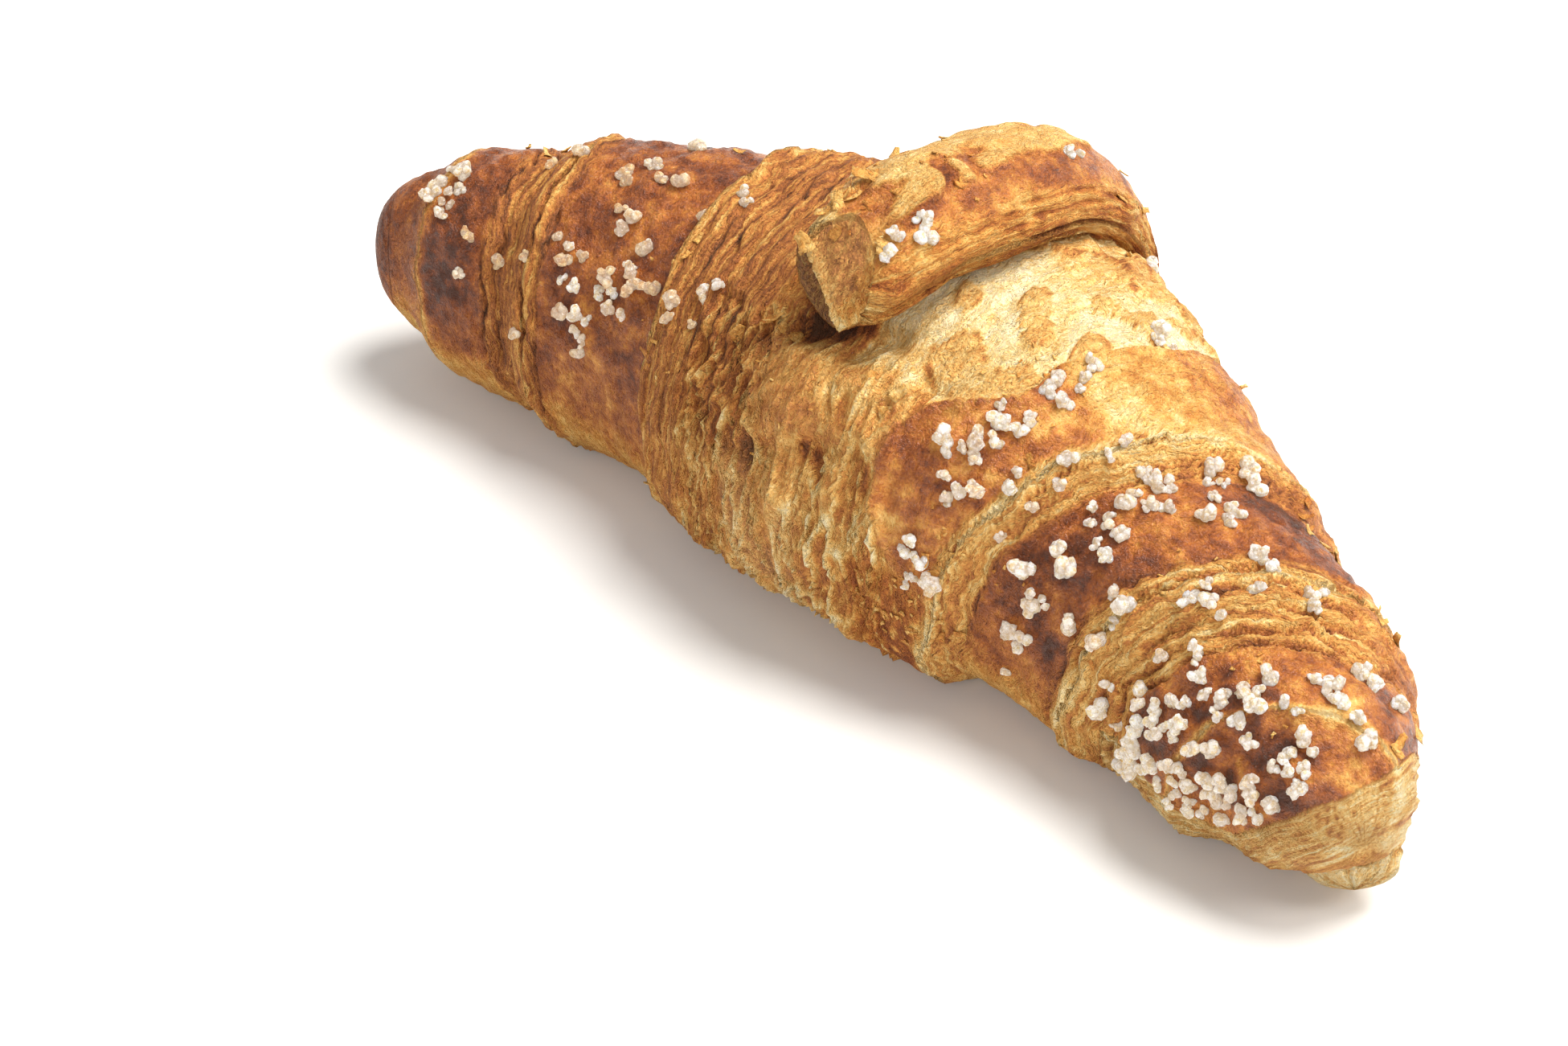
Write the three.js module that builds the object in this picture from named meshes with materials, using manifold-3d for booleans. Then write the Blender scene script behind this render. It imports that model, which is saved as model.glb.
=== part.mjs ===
// A whole croissant with pearl sugar: one rolled and baked piece of dough, and the grains of
// sugar on its crust. Millimetres, +Z up. +X points to the right horn and +Y to the back.
//
// A place on the crust is told by its distance along the croissant from the middle, and by its
// angle around the roll: 0 at the back, 90 degrees on top, 180 degrees at the front.

import * as THREE from "three";
import { mergeVertices } from "three/addons/utils/BufferGeometryUtils.js";
import Module from "manifold-3d";

const wasm = await Module();
wasm.setup();

const TAU = 2 * Math.PI;
const MERGE_DISTANCE = 1e-5; // corners nearer than this are one
const { clamp, degToRad, seededRandom, smoothstep } = THREE.MathUtils;

// ---- Dimensions of the dough ----

const HORN_LENGTHS = { left: 84.5, right: 80 }; // from the middle to the end of each horn
const STATIONS = [
  { at: -1, halfWidth: 12, height: 32 },
  { at: -0.8, halfWidth: 15.5, height: 35.5 },
  { at: -0.5, halfWidth: 20.5, height: 41.5 },
  { at: -0.22, halfWidth: 29.5, height: 45.5 },
  { at: 0, halfWidth: 32, height: 50 },
  { at: 0.22, halfWidth: 28.5, height: 47 },
  { at: 0.5, halfWidth: 20, height: 38 },
  { at: 0.8, halfWidth: 16.5, height: 31 },
  { at: 1, halfWidth: 14, height: 29 },
];
const BEND = [13.3, -6.6, -17.5, 0.7, -4.9]; // Y of the centre line, as a polynomial in the station
const CENTRE_HEIGHT = 0.42; // of the local height, where the section is widest
const TOP_SQUARENESS = 2.15; // superellipse power of the section's upper half
const BASE_SQUARENESS = 2.7; // and of its lower half
const HORN_END_POWERS = [7, 2.4]; // how bluntly the horns close
const HORN_LIFT = { left: 5.5, right: 3.5 }; // how far the horns' ends curl up from the tray
const LIFT_START = 0.55; // the station where a horn begins to lift
const BASE_FLAT = 0.8; // how much of the underside the tray pressed flat

// Where the rolled sheet's edge shows on top, from the tongue to the end of each horn and past it
const RIGHT_EDGES = [10, 39, 59, 75, 92];
const LEFT_EDGES = [8, 38, 64, 77, 93];
const RIGHT_SKEW = 5; // how much nearer the middle the right edges are at the front
const STEP_HEIGHT = 2.4; // from the crest of an edge to the foot of its slope
const EDGE_SLOPE = 5; // width of the slope
const CREST_LENGTH = 8; // over which the sheet rises to its crest
const FOOT_LENGTH = 6; // over which the next turn recovers from the foot
const EDGE_FADE_TURNS = 0.6; // over which the edges grow, from nothing under the tongue
const LUMP_HEIGHT = 0.35; // of each wave in the slow unevenness of the whole crust
const LUMP_WAVES = [
  { along: 9, around: 2, phase: 0, share: 1 },
  { along: 13, around: -3, phase: 1, share: 1 },
  { along: 5, around: 5, phase: 2, share: 0.6 },
];
const TRAY_SIZE = 300; // more than the croissant's length

const ROWS_ALONG = 84;
const ROWS_AROUND = 36;

// The tongue is the sheet's tip: it comes over the top from the back and ends in the air at the
// front. Its rise and sink are measured from the dough under it.
const TONGUE = [
  { angle: -20, middle: 0, halfWidth: 17, rise: 0.5, sink: 5 },
  { angle: 0, middle: 0, halfWidth: 15.5, rise: 3, sink: 5 },
  { angle: 30, middle: 0, halfWidth: 13, rise: 7, sink: 5 },
  { angle: 60, middle: 0, halfWidth: 11, rise: 10, sink: 4 },
  { angle: 90, middle: -0.5, halfWidth: 9.5, rise: 11.5, sink: 3 },
  { angle: 106, middle: -0.5, halfWidth: 8.5, rise: 12.5, sink: 1.5 },
  { angle: 126, middle: 0, halfWidth: 6.5, rise: 12.5, sink: -0.5 },
];
const TONGUE_ROWS = 22;
const TONGUE_SIDES = 18;

// The tail is the thin end of the roll that sticks out of the right horn, low at the front
const TAIL = { root: [71, -4, 12], tip: [78.8, -11.5, 5.2], rootRadius: 8, tipRadius: 3.6, flatness: 0.7 };
const TAIL_SIDES = 14;
const TAIL_ROWS = 4;

// ---- Dimensions of the sugar ----

const GRAIN_RADIUS = { least: 1.1, most: 2 };
const GRAIN_GAP = 0.3; // between a grain and the crust, and between grains
const GRAIN_ROUGHNESS = 0.22; // how far a grain's corners stray, of its radius
const GRAIN_SQUASH = { second: 0.75, third: 0.65 }; // its least sizes along two axes, of its radius
const SPREAD_STEP = 0.16; // how much further from its clump's middle each try for a grain's place is
// Each clump: distance along, angle around, grains
const CLUMPS = [
  [60, 149, 1], [61, 163, 2], [63, 153, 1], [57, 179, 2], [63, 174, 1], [66, 177, 1], [69, 168, 1],
  [67, 154, 1], [66, 192, 1], [70, 185, 1], [74, 173, 1], [75, 160, 1], [76, 137, 1], [73, 114, 1],
  [70, 93, 1], [68, 71, 1], [66, 125, 1], [61, 134, 1], [75, 82, 1], [56, 160, 1], [50, 177, 1],
  [54, 141, 1], [58, 128, 1], [57, 111, 1], [60, 78, 1], [43, 131, 2], [49, 137, 1], [40, 115, 1],
  [47, 84, 1], [44, 68, 1], [53, 88, 1], [40, 99, 1], [39, 144, 1], [35, 152, 1], [38, 161, 1],
  [36, 174, 1], [20, 135, 1], [24, 123, 2], [25, 107, 1], [25, 144, 1], [30, 135, 1], [22, 163, 1],
  [25, 170, 1], [24, 66, 1], [-72, 99, 1], [-75, 114, 1], [-52, 131, 1], [-51, 156, 1], [-45, 140, 2],
  [-41, 134, 1], [-45, 121, 1], [5, 104, 1], [4, 109, 1],
];
const FAR_OUT = 80; // a start for a line of sight, well outside the crust
const RANDOM_SEED = 7;

// ---- Surface of the dough ----

// A smooth curve through one column of rows, each of which has its own place in keyColumn
function smoothColumn(rows, keyColumn, column, key) {
  const last = rows.length - 2;
  const above = rows.findIndex((row) => row[keyColumn] > key);
  const i = clamp(above < 0 ? last : above - 1, 0, last);
  const width = (k) => rows[k + 1][keyColumn] - rows[k][keyColumn];
  const slope = (k) => (rows[k + 1][column] - rows[k][column]) / width(k);
  const tangent = (k) => {
    if (k === 0) return slope(0);
    if (k > last) return slope(last);
    return (slope(k - 1) * width(k) + slope(k) * width(k - 1)) / (width(k - 1) + width(k));
  };
  const u = (key - rows[i][keyColumn]) / width(i);
  const values = rows[i][column] * (1 + 2 * u) * (1 - u) ** 2 + rows[i + 1][column] * u * u * (3 - 2 * u);
  const tangents = tangent(i) * u * (1 - u) ** 2 + tangent(i + 1) * u * u * (u - 1);
  return values + width(i) * tangents;
}

function polynomial(factors, x) {
  return factors.reduce((sum, factor, power) => sum + factor * x ** power, 0);
}

function polynomialSlope(factors, x) {
  return factors.reduce((sum, factor, power) => (power ? sum + factor * power * x ** (power - 1) : sum), 0);
}

// How far out along the croissant an edge lies after this many turns from the top of the tongue
function edgeAfter(edges, turns) {
  const rows = edges.map((distance, turn) => ({ turn, distance }));
  return smoothColumn(rows, "turn", "distance", turns);
}

// The cross profile of one edge: up to a crest, down the cut slope and back from its foot
function edgeProfile(beyondCrest) {
  if (beyondCrest < 0) return 0.5 * Math.exp(beyondCrest / CREST_LENGTH);
  if (beyondCrest < EDGE_SLOPE) return 0.5 * Math.cos((Math.PI * beyondCrest) / EDGE_SLOPE);
  return -0.5 * Math.exp((EDGE_SLOPE - beyondCrest) / FOOT_LENGTH);
}

// The steps that the turns of the rolled sheet make in the crust
function wrapRise(distance, angle) {
  const edges = distance > 0 ? RIGHT_EDGES : LEFT_EDGES;
  const skew = distance > 0 ? RIGHT_SKEW * Math.cos(angle) : 0;
  const firstTurn = (((0.25 - angle / TAU) % 1) + 1) % 1;
  let rise = 0;
  for (let turns = firstTurn; turns <= edges.length - 1; turns += 1) {
    const crest = edgeAfter(edges, turns) + skew - EDGE_SLOPE / 2;
    const strength = smoothstep(turns, 0, EDGE_FADE_TURNS);
    rise += STEP_HEIGHT * strength * edgeProfile(Math.abs(distance) - crest);
  }
  return rise;
}

function lumps(distance, angle) {
  return LUMP_WAVES.reduce((sum, { along, around, phase, share }) => (
    sum + LUMP_HEIGHT * share * Math.sin(distance / along + around * angle + phase)), 0);
}

// A power of a sine or cosine that keeps its sign
function signedPower(value, power) {
  return Math.sign(value) * Math.abs(value) ** power;
}

// The station, from -1 to 1, at a distance along
function stationAt(distance) {
  return clamp(distance / (distance < 0 ? HORN_LENGTHS.left : HORN_LENGTHS.right), -1, 1);
}

// The roll's cross-section at a station: its middle, its sideways direction and its sizes
function sectionAt(station) {
  const closing = (1 - Math.abs(station) ** HORN_END_POWERS[0]) ** (1 / HORN_END_POWERS[1]);
  const height = smoothColumn(STATIONS, "at", "height", station);
  const liftShare = clamp((Math.abs(station) - LIFT_START) / (1 - LIFT_START), 0, 1);
  const lift = (station < 0 ? HORN_LIFT.left : HORN_LIFT.right) * liftShare ** 2 - BASE_FLAT;
  const hornLength = station < 0 ? HORN_LENGTHS.left : HORN_LENGTHS.right;
  const bendSlope = polynomialSlope(BEND, station) / hornLength;
  return {
    closing,
    middle: new THREE.Vector3(
      station * hornLength, polynomial(BEND, station), CENTRE_HEIGHT * height + lift),
    sideways: new THREE.Vector3(-bendSlope, 1, 0).normalize(),
    halfWidth: smoothColumn(STATIONS, "at", "halfWidth", station) * closing,
    above: (1 - CENTRE_HEIGHT) * height * closing,
    below: CENTRE_HEIGHT * height * closing,
  };
}

// A point of the crust, or a point further out by the given distance
function crustPoint(distance, angle, out = 0) {
  const section = sectionAt(stationAt(distance));
  const top = Math.sin(angle) > 0;
  const power = 2 / (top ? TOP_SQUARENESS : BASE_SQUARENESS);
  const radius = new THREE.Vector3()
    .addScaledVector(section.sideways, section.halfWidth * signedPower(Math.cos(angle), power));
  radius.z = (top ? section.above : section.below) * signedPower(Math.sin(angle), power);
  const relief = (wrapRise(distance, angle) + lumps(distance, angle)) * section.closing + out;
  const reach = Math.max(radius.length(), Number.EPSILON);
  return section.middle.addScaledVector(radius, 1 + relief / reach);
}

// ---- Solids ----

// Joins the corners of a closed three.js shape and moves each one
function bentShape(geometry, bend) {
  geometry.deleteAttribute("normal");
  geometry.deleteAttribute("uv");
  const shape = mergeVertices(geometry, MERGE_DISTANCE);
  const corner = new THREE.Vector3();
  const positions = shape.attributes.position;
  for (let i = 0; i < positions.count; i++) {
    const moved = bend(corner.fromBufferAttribute(positions, i));
    positions.setXYZ(i, moved.x, moved.y, moved.z);
  }
  return shape;
}

function bentSolid(geometry, bend) {
  return solidOf(bentShape(geometry, bend));
}

function solidOf(shape) {
  const vertProperties = new Float32Array(shape.attributes.position.array);
  const triVerts = new Uint32Array(shape.index.array);
  return new wasm.Manifold(new wasm.Mesh({ numProp: 3, vertProperties, triVerts }));
}

function geometryOf(solid) {
  const { vertProperties, triVerts } = solid.getMesh();
  const geometry = new THREE.BufferGeometry();
  geometry.setAttribute("position", new THREE.BufferAttribute(new Float32Array(vertProperties), 3));
  geometry.setIndex(new THREE.BufferAttribute(new Uint32Array(triVerts), 1));
  geometry.computeVertexNormals();
  return geometry;
}

// The sphere's poles become the horns' ends
function roll() {
  const sphere = new THREE.SphereGeometry(1, ROWS_AROUND, ROWS_ALONG);
  return bentSolid(sphere, (corner) => {
    const angle = Math.atan2(corner.z, corner.x);
    return crustPoint(-corner.y * (corner.y > 0 ? HORN_LENGTHS.left : HORN_LENGTHS.right), angle);
  });
}

// The cylinder's height runs from the tongue's root at the back to its end at the front
function tongue() {
  const cylinder = new THREE.CylinderGeometry(1, 1, 1, TONGUE_SIDES, TONGUE_ROWS);
  const first = TONGUE[0].angle;
  const whole = TONGUE[TONGUE.length - 1].angle - first;
  return bentSolid(cylinder, (corner) => {
    const angle = first + whole * (corner.y + 0.5);
    const [middle, halfWidth, rise, sink] = ["middle", "halfWidth", "rise", "sink"]
      .map((column) => smoothColumn(TONGUE, "angle", column, angle));
    const out = (rise - sink) / 2 + (corner.z * (rise + sink)) / 2;
    return crustPoint(middle - corner.x * halfWidth, degToRad(angle), out);
  });
}

function tail() {
  const cone = new THREE.CylinderGeometry(TAIL.tipRadius, TAIL.rootRadius, 1, TAIL_SIDES, TAIL_ROWS);
  const root = new THREE.Vector3(...TAIL.root);
  const way = new THREE.Vector3(...TAIL.tip).sub(root);
  const turn = new THREE.Quaternion().setFromUnitVectors(
    new THREE.Vector3(0, 1, 0), way.clone().normalize());
  return bentSolid(cone, (corner) => {
    const across = new THREE.Vector3(corner.x, 0, corner.z * TAIL.flatness).applyQuaternion(turn);
    return across.add(root).addScaledVector(way, corner.y + 0.5);
  });
}

function croissant() {
  const tray = new THREE.BoxGeometry(TRAY_SIZE, TRAY_SIZE, TRAY_SIZE);
  const underTray = bentSolid(tray, (corner) => corner.setZ(corner.z - TRAY_SIZE / 2));
  return roll().add(tongue()).add(tail()).subtract(underTray);
}

// ---- Sugar ----

function randomBetween(least, most) {
  return least + (most - least) * seededRandom();
}

// One uneven grain around the origin, its corners within its radius
function grainShape(radius) {
  const squash = new THREE.Vector3(
    1, randomBetween(GRAIN_SQUASH.second, 1), randomBetween(GRAIN_SQUASH.third, 1));
  return bentShape(new THREE.DodecahedronGeometry(1), (corner) => (
    corner.multiply(squash).multiplyScalar(radius * (1 - GRAIN_ROUGHNESS * seededRandom()))));
}

// Where a straight line towards the middle of the roll first meets the crust
function crustHit(crustMesh, distance, angle) {
  const far = crustPoint(distance, angle, FAR_OUT);
  const inwards = sectionAt(stationAt(distance)).middle.sub(far).normalize();
  return new THREE.Raycaster(far, inwards).intersectObject(crustMesh)[0];
}

function touches(shape, scale, place, turn, crust) {
  const grown = shape.clone().scale(scale, scale, scale).applyQuaternion(turn);
  grown.translate(place.x, place.y, place.z);
  return !solidOf(grown).intersect(crust).isEmpty();
}

// Lets a grain down on the crust near a place, clear of the crust and of the grains before it
function settleGrain(crust, crustMesh, clump, settled) {
  const [distance, angle] = clump;
  const radius = randomBetween(GRAIN_RADIUS.least, GRAIN_RADIUS.most);
  const shape = grainShape(radius);
  const turn = new THREE.Quaternion().setFromEuler(
    new THREE.Euler(randomBetween(0, TAU), randomBetween(0, TAU), randomBetween(0, TAU)));
  const reach = sectionAt(stationAt(distance)).above;
  for (let spread = 0; ; spread += SPREAD_STEP) {
    const way = randomBetween(0, TAU);
    const around = degToRad(angle) + (spread * Math.sin(way)) / reach;
    const hit = crustHit(crustMesh, distance + spread * Math.cos(way), around);
    const place = hit.point.clone();
    while (touches(shape, 1 + GRAIN_GAP / radius, place, turn, crust)) {
      place.addScaledVector(hit.face.normal, GRAIN_GAP / 2);
    }
    const clear = (other) => other.place.distanceTo(place) > other.radius + radius + GRAIN_GAP;
    if (settled.every(clear)) return { shape, turn, place, radius };
  }
}

// ---- The whole croissant ----

const crustMaterial = new THREE.MeshStandardMaterial({ color: 0xc98b45, roughness: 0.5, metalness: 0 });
const sugarColor = 0xf4ead8;

const whole = new THREE.Group();
const crust = croissant();
const crustMesh = new THREE.Mesh(geometryOf(crust), crustMaterial);
crustMesh.name = "croissant";
whole.add(crustMesh);

seededRandom(RANDOM_SEED);
const settled = [];
for (const clump of CLUMPS) {
  for (let grain = 0; grain < clump[2]; grain++) {
    settled.push(settleGrain(crust, crustMesh, clump, settled));
  }
}
settled.forEach(({ shape, turn, place }, number) => {
  const sugarMaterial = new THREE.MeshStandardMaterial({ color: sugarColor, roughness: 0.35, metalness: 0 });
  const grain = new THREE.Mesh(shape, sugarMaterial);
  grain.name = `pearl_sugar_${String(number + 1).padStart(2, "0")}`;
  grain.quaternion.copy(turn);
  grain.position.copy(place);
  whole.add(grain);
});

// The origin is under the middle of the whole, on the surface that it rests on
const middle = new THREE.Box3().setFromObject(whole).getCenter(new THREE.Vector3());
whole.position.set(-middle.x, -middle.y, 0);

export default whole;
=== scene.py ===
# A whole croissant with pearl sugar, lying on a pale studio floor.
# Shapes are worked out in millimetres around the dough's own origin, and setDown puts them in the
# frame, in metres. A place on the crust is told by its distance along from the middle, negative on
# the left, and by its angle around the roll in degrees: 0 at the back, 90 on top, 180 at the front.

import math
from functools import partial

import bmesh
import bpy
import numpy as np
from mathutils import Matrix, Vector
from mathutils.bvhtree import BVHTree
from mathutils.kdtree import KDTree


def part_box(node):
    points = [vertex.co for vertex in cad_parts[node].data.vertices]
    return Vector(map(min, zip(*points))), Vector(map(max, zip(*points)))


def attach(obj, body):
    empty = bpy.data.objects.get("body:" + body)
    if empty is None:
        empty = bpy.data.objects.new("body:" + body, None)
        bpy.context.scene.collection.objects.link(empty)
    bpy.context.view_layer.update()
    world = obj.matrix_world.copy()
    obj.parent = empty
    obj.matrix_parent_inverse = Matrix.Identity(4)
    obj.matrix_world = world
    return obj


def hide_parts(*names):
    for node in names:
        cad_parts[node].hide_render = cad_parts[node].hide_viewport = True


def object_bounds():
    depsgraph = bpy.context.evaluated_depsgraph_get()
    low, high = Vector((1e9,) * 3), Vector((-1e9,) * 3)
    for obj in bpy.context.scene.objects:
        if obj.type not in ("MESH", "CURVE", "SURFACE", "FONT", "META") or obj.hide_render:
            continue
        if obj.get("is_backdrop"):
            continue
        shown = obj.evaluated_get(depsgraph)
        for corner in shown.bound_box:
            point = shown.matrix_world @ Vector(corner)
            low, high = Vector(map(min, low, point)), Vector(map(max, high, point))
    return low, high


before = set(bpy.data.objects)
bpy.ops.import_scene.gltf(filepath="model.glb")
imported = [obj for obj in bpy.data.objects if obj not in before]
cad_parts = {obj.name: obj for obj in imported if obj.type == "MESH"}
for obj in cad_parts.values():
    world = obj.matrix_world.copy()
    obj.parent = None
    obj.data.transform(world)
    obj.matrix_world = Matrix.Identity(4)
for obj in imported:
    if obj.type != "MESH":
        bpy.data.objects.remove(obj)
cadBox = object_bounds()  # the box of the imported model, before anything is added
metre = 0.001  # one millimetre

dough = {
    "place": (1.661, -13.438),  # the dough's own origin in the frame
    "hornLengths": (84.5, 80),  # left and right, from the middle to the end of the horn
    # station, half width, height
    "stations": [
        (-1, 12, 32), (-0.8, 15.5, 35.5), (-0.5, 20.5, 41.5), (-0.22, 29.5, 45.5), (0, 32, 50),
        (0.22, 28.5, 47), (0.5, 20, 38), (0.8, 16.5, 31), (1, 14, 29),
    ],
    "bend": (13.3, -6.6, -17.5, 0.7, -4.9),  # Y of the centre line, a polynomial in the station
    "centreHeight": 0.42,  # of the height, where a section is widest
    "squareness": (2.15, 2.7),  # of a section's upper and lower half
    "endPowers": (7, 2.4),  # how bluntly the horns close
    "hornLift": (5.5, 3.5),  # how far the ends curl up, left and right
    "liftStart": 0.55,
    "baseFlat": 0.8,  # how much of the underside is pressed flat
    "chart": (0.005, 0.005, 0.99, 0.7),  # its place on the bake's picture: left, low, wide, tall
    "rows": 520,
    "columns": 156,
    "underColumns": 0.4,  # how many columns the underside has, for one on top
}

# The rolled sheet's edge comes round to the top once for each number, further out each time
wraps = {
    "left": {"edges": (8, 33, 60, 76, 93), "skew": -6},
    "right": {"edges": (10, 39, 59, 75, 92), "skew": 5},
    "height": 2.4,  # from an edge's crest to the foot of its slope
    "crest": 8,  # over which the sheet rises to its crest
    "foot": 6,  # over which the next turn recovers
    "sway": 0.9,  # how far the edge strays
    "torn": (50, 250, 60),  # angles from and to that the layers part most, and their softness
    "rimWidth": 0.8,  # of the pale rim along a crest
    "layerFall": 0.72,  # where in a layer its face begins to fall
    "groovePlace": (0.88, 0.13),  # where in a layer its groove lies, and its width
}

# How each edge is cut: its slope's width, where its layers show, how many and how deeply they part
plainEdge = {"slope": 4, "band": (-2, 5), "layers": 4, "terrace": 0.5, "groove": 0.6}
smoothEdge = {"slope": 4, "band": (-0.5, 0.5), "layers": 1, "terrace": 0.0, "groove": 0.0}
edgeStyles = {
    "left": [
        plainEdge,
        {"slope": 1.8, "band": (-19, 0.6), "layers": 7, "terrace": 0.9, "groove": 0.6},
        {"slope": 5, "band": (-2.5, 8), "layers": 4, "terrace": 0.9, "groove": 1.0},
        smoothEdge, smoothEdge,
    ],
    "right": [
        plainEdge,
        {"slope": 3.4, "band": (-1.2, 4), "layers": 5, "terrace": 0.4, "groove": 0.6},
        {"slope": 7, "band": (-2.5, 8.5), "layers": 5, "terrace": 0.9, "groove": 1.5},
        smoothEdge, smoothEdge,
    ],
}

tongue = {
    # angle, middle, half width, rise and sink from the dough under it
    "rows": [
        (-20, -3, 15, 0.5, 5), (0, -3.4, 13, 3, 5), (30, -3, 11, 6.6, 5), (60, -1.2, 10.4, 8, 4),
        (90, -0.8, 10.3, 9.4, 3), (106, -1, 9.8, 11.9, 1.5), (128, -0.6, 8.2, 12.6, -0.5),
    ],
    # the two faces of its broken end: angle, and how it changes towards the right and outwards
    "layeredFace": (128, 0.5, -0.85, 0),
    "bareFace": (129, -0.57, -0.9, -0.062),
    "tipEnd": 126.4,  # the angle that no part of the end reaches past
    "bareRight": 0.35,  # how soon the bare face turns into crust on its right
    "chart": (0.005, 0.72, 0.55, 0.275),
    "steps": 120,
    "around": 88,
    "endRings": 18,
    "dish": 2.6,  # how deep the layered face is hollowed
    "nose": 0.28,  # how much the right side narrows towards the end
    "pitted": 0.6,  # roughness of the bare face
    "browning": 0.64,  # how dark its crust is
    "gloss": 0.75,
    "flaky": {"toast": 0.38, "glaze": 0.1, "crumb": 0.2},
    # the hollow end's finish, dark and grey with painted shade
    "hollow": {"toast": 0.7, "glaze": 0.0, "crumb": 0.4, "ash": 0.7, "layers": 0.0},
}

tail = {
    "root": (71, -4, 12),
    "tip": (78.2, -12.2, 4.9),
    "rootRadius": 8,
    "tipRadius": 5.0,
    "flatness": 0.7,
    "toast": (0.14, 0.12, 0.4),  # how dark it is, how much darker on its folds, and how much painted shade darkens its creases
    "chart": (0.58, 0.72, 0.2, 0.275),
    "steps": 34,
    "around": 44,
}


# Smooth gradient noise, about -1 to 1, from one fixed table
noiseRandom = np.random.default_rng(11)
noiseOrder = np.tile(noiseRandom.permutation(256), 2)
noiseWays = noiseRandom.normal(size=(256, 3))
noiseWays /= np.linalg.norm(noiseWays, axis=1, keepdims=True)


def noise(x, y, z=0.0):
    x, y, z = np.broadcast_arrays(np.asarray(x, float), y, z)
    cells = [np.floor(v).astype(int) for v in (x, y, z)]
    parts = [v - c for v, c in zip((x, y, z), cells)]
    fades = [p * p * p * (p * (p * 6 - 15) + 10) for p in parts]
    total = np.zeros(x.shape)
    for corner in np.ndindex(2, 2, 2):
        index = 0
        for cell, step in zip(cells, corner):
            index = noiseOrder[(index + cell + step) & 255]
        way = noiseWays[index]
        slope = sum(way[..., i] * (parts[i] - corner[i]) for i in range(3))
        share = 1.0
        for fade, step in zip(fades, corner):
            share = share * (fade if step else 1 - fade)
        total += slope * share
    return total * 1.7


# The two nearest of one scattered point per cell, as the gap between their distances
def cellGap(x, y, seed=0):
    cellX, cellY = np.floor(x).astype(int), np.floor(y).astype(int)
    first = np.full(x.shape, 9.0)
    second = np.full(x.shape, 9.0)
    for stepX in (-1, 0, 1):
        for stepY in (-1, 0, 1):
            index = noiseOrder[(noiseOrder[(cellX + stepX + seed) & 255] + cellY + stepY) & 255]
            away = np.hypot(
                cellX + stepX + 0.5 + 0.45 * noiseWays[index, 0] - x,
                cellY + stepY + 0.5 + 0.45 * noiseWays[index, 1] - y,
            )
            second = np.minimum(second, np.maximum(first, away))
            first = np.minimum(first, away)
    return second - first


def smoothStep(value, low=0.0, high=1.0):
    share = np.clip((value - low) / (high - low), 0, 1)
    return share * share * (3 - 2 * share)


# 1 between low and high and 0 outside, with soft ends
def window(value, low, high, soft):
    half = soft / 2
    return smoothStep(value, low - half, low + half) * (1 - smoothStep(value, high - half, high + half))


# 1 at zero, falling away smoothly on both sides
def peak(value, width):
    return np.exp(-((value / width) ** 2))


# Cuts a rising value into layers: its place in a layer, and the same with a quick fall at the end
def layered(value, fall):
    part = value - np.floor(value)
    return part, part - smoothStep(part, fall, 1)


# A smooth curve through one column of rows, each row with its own place first
def smoothRows(rows, column, at):
    keys = np.array([row[0] for row in rows], float)
    values = np.array([row[column] for row in rows], float)
    widths = np.diff(keys)
    slopes = np.diff(values) / widths
    tangents = np.empty_like(values)
    tangents[0], tangents[-1] = slopes[0], slopes[-1]
    tangents[1:-1] = (slopes[:-1] * widths[1:] + slopes[1:] * widths[:-1]) / (widths[1:] + widths[:-1])
    i = np.clip(np.searchsorted(keys, at, side="right") - 1, 0, len(widths) - 1)
    u = (at - keys[i]) / widths[i]
    bend = tangents[i] * u * (1 - u) ** 2 + tangents[i + 1] * u * u * (u - 1)
    return values[i] * (1 + 2 * u) * (1 - u) ** 2 + values[i + 1] * u * u * (3 - 2 * u) + widths[i] * bend


def signedPower(value, power):
    return np.sign(value) * np.abs(value) ** power


# A point of the smooth dough, or one further out by the given distance
def crustPoint(distance, degrees, out=0.0):
    distance, degrees, out = np.broadcast_arrays(np.asarray(distance, float), degrees, out)
    left = distance < 0
    length = np.where(left, *dough["hornLengths"])
    station = np.clip(distance / length, -1, 1)
    blunt, power = dough["endPowers"]
    closing = (1 - np.abs(station) ** blunt) ** (1 / power)
    height = smoothRows(dough["stations"], 2, station)
    liftShare = np.clip((np.abs(station) - dough["liftStart"]) / (1 - dough["liftStart"]), 0, 1)
    lift = np.where(left, *dough["hornLift"]) * liftShare**2 - dough["baseFlat"]
    bend = sum(factor * station**i for i, factor in enumerate(dough["bend"]))
    slope = sum(i * factor * station ** (i - 1) for i, factor in enumerate(dough["bend"]) if i) / length
    halfWidth = smoothRows(dough["stations"], 1, station) * closing
    angle = np.radians(degrees)
    top = np.sin(angle) > 0
    squareness = 2 / np.where(top, *dough["squareness"])
    sideways = halfWidth * signedPower(np.cos(angle), squareness)
    share = np.where(top, 1 - dough["centreHeight"], dough["centreHeight"])
    upwards = share * height * closing * signedPower(np.sin(angle), squareness)
    steep = np.hypot(slope, 1)
    reach = np.maximum(np.hypot(sideways, upwards), 1e-9)
    grow = 1 + out / reach
    x = station * length - slope / steep * sideways * grow
    y = bend + sideways * grow / steep
    z = dough["centreHeight"] * height + lift + upwards * grow
    return np.stack([x, y, z], -1), closing


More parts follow.
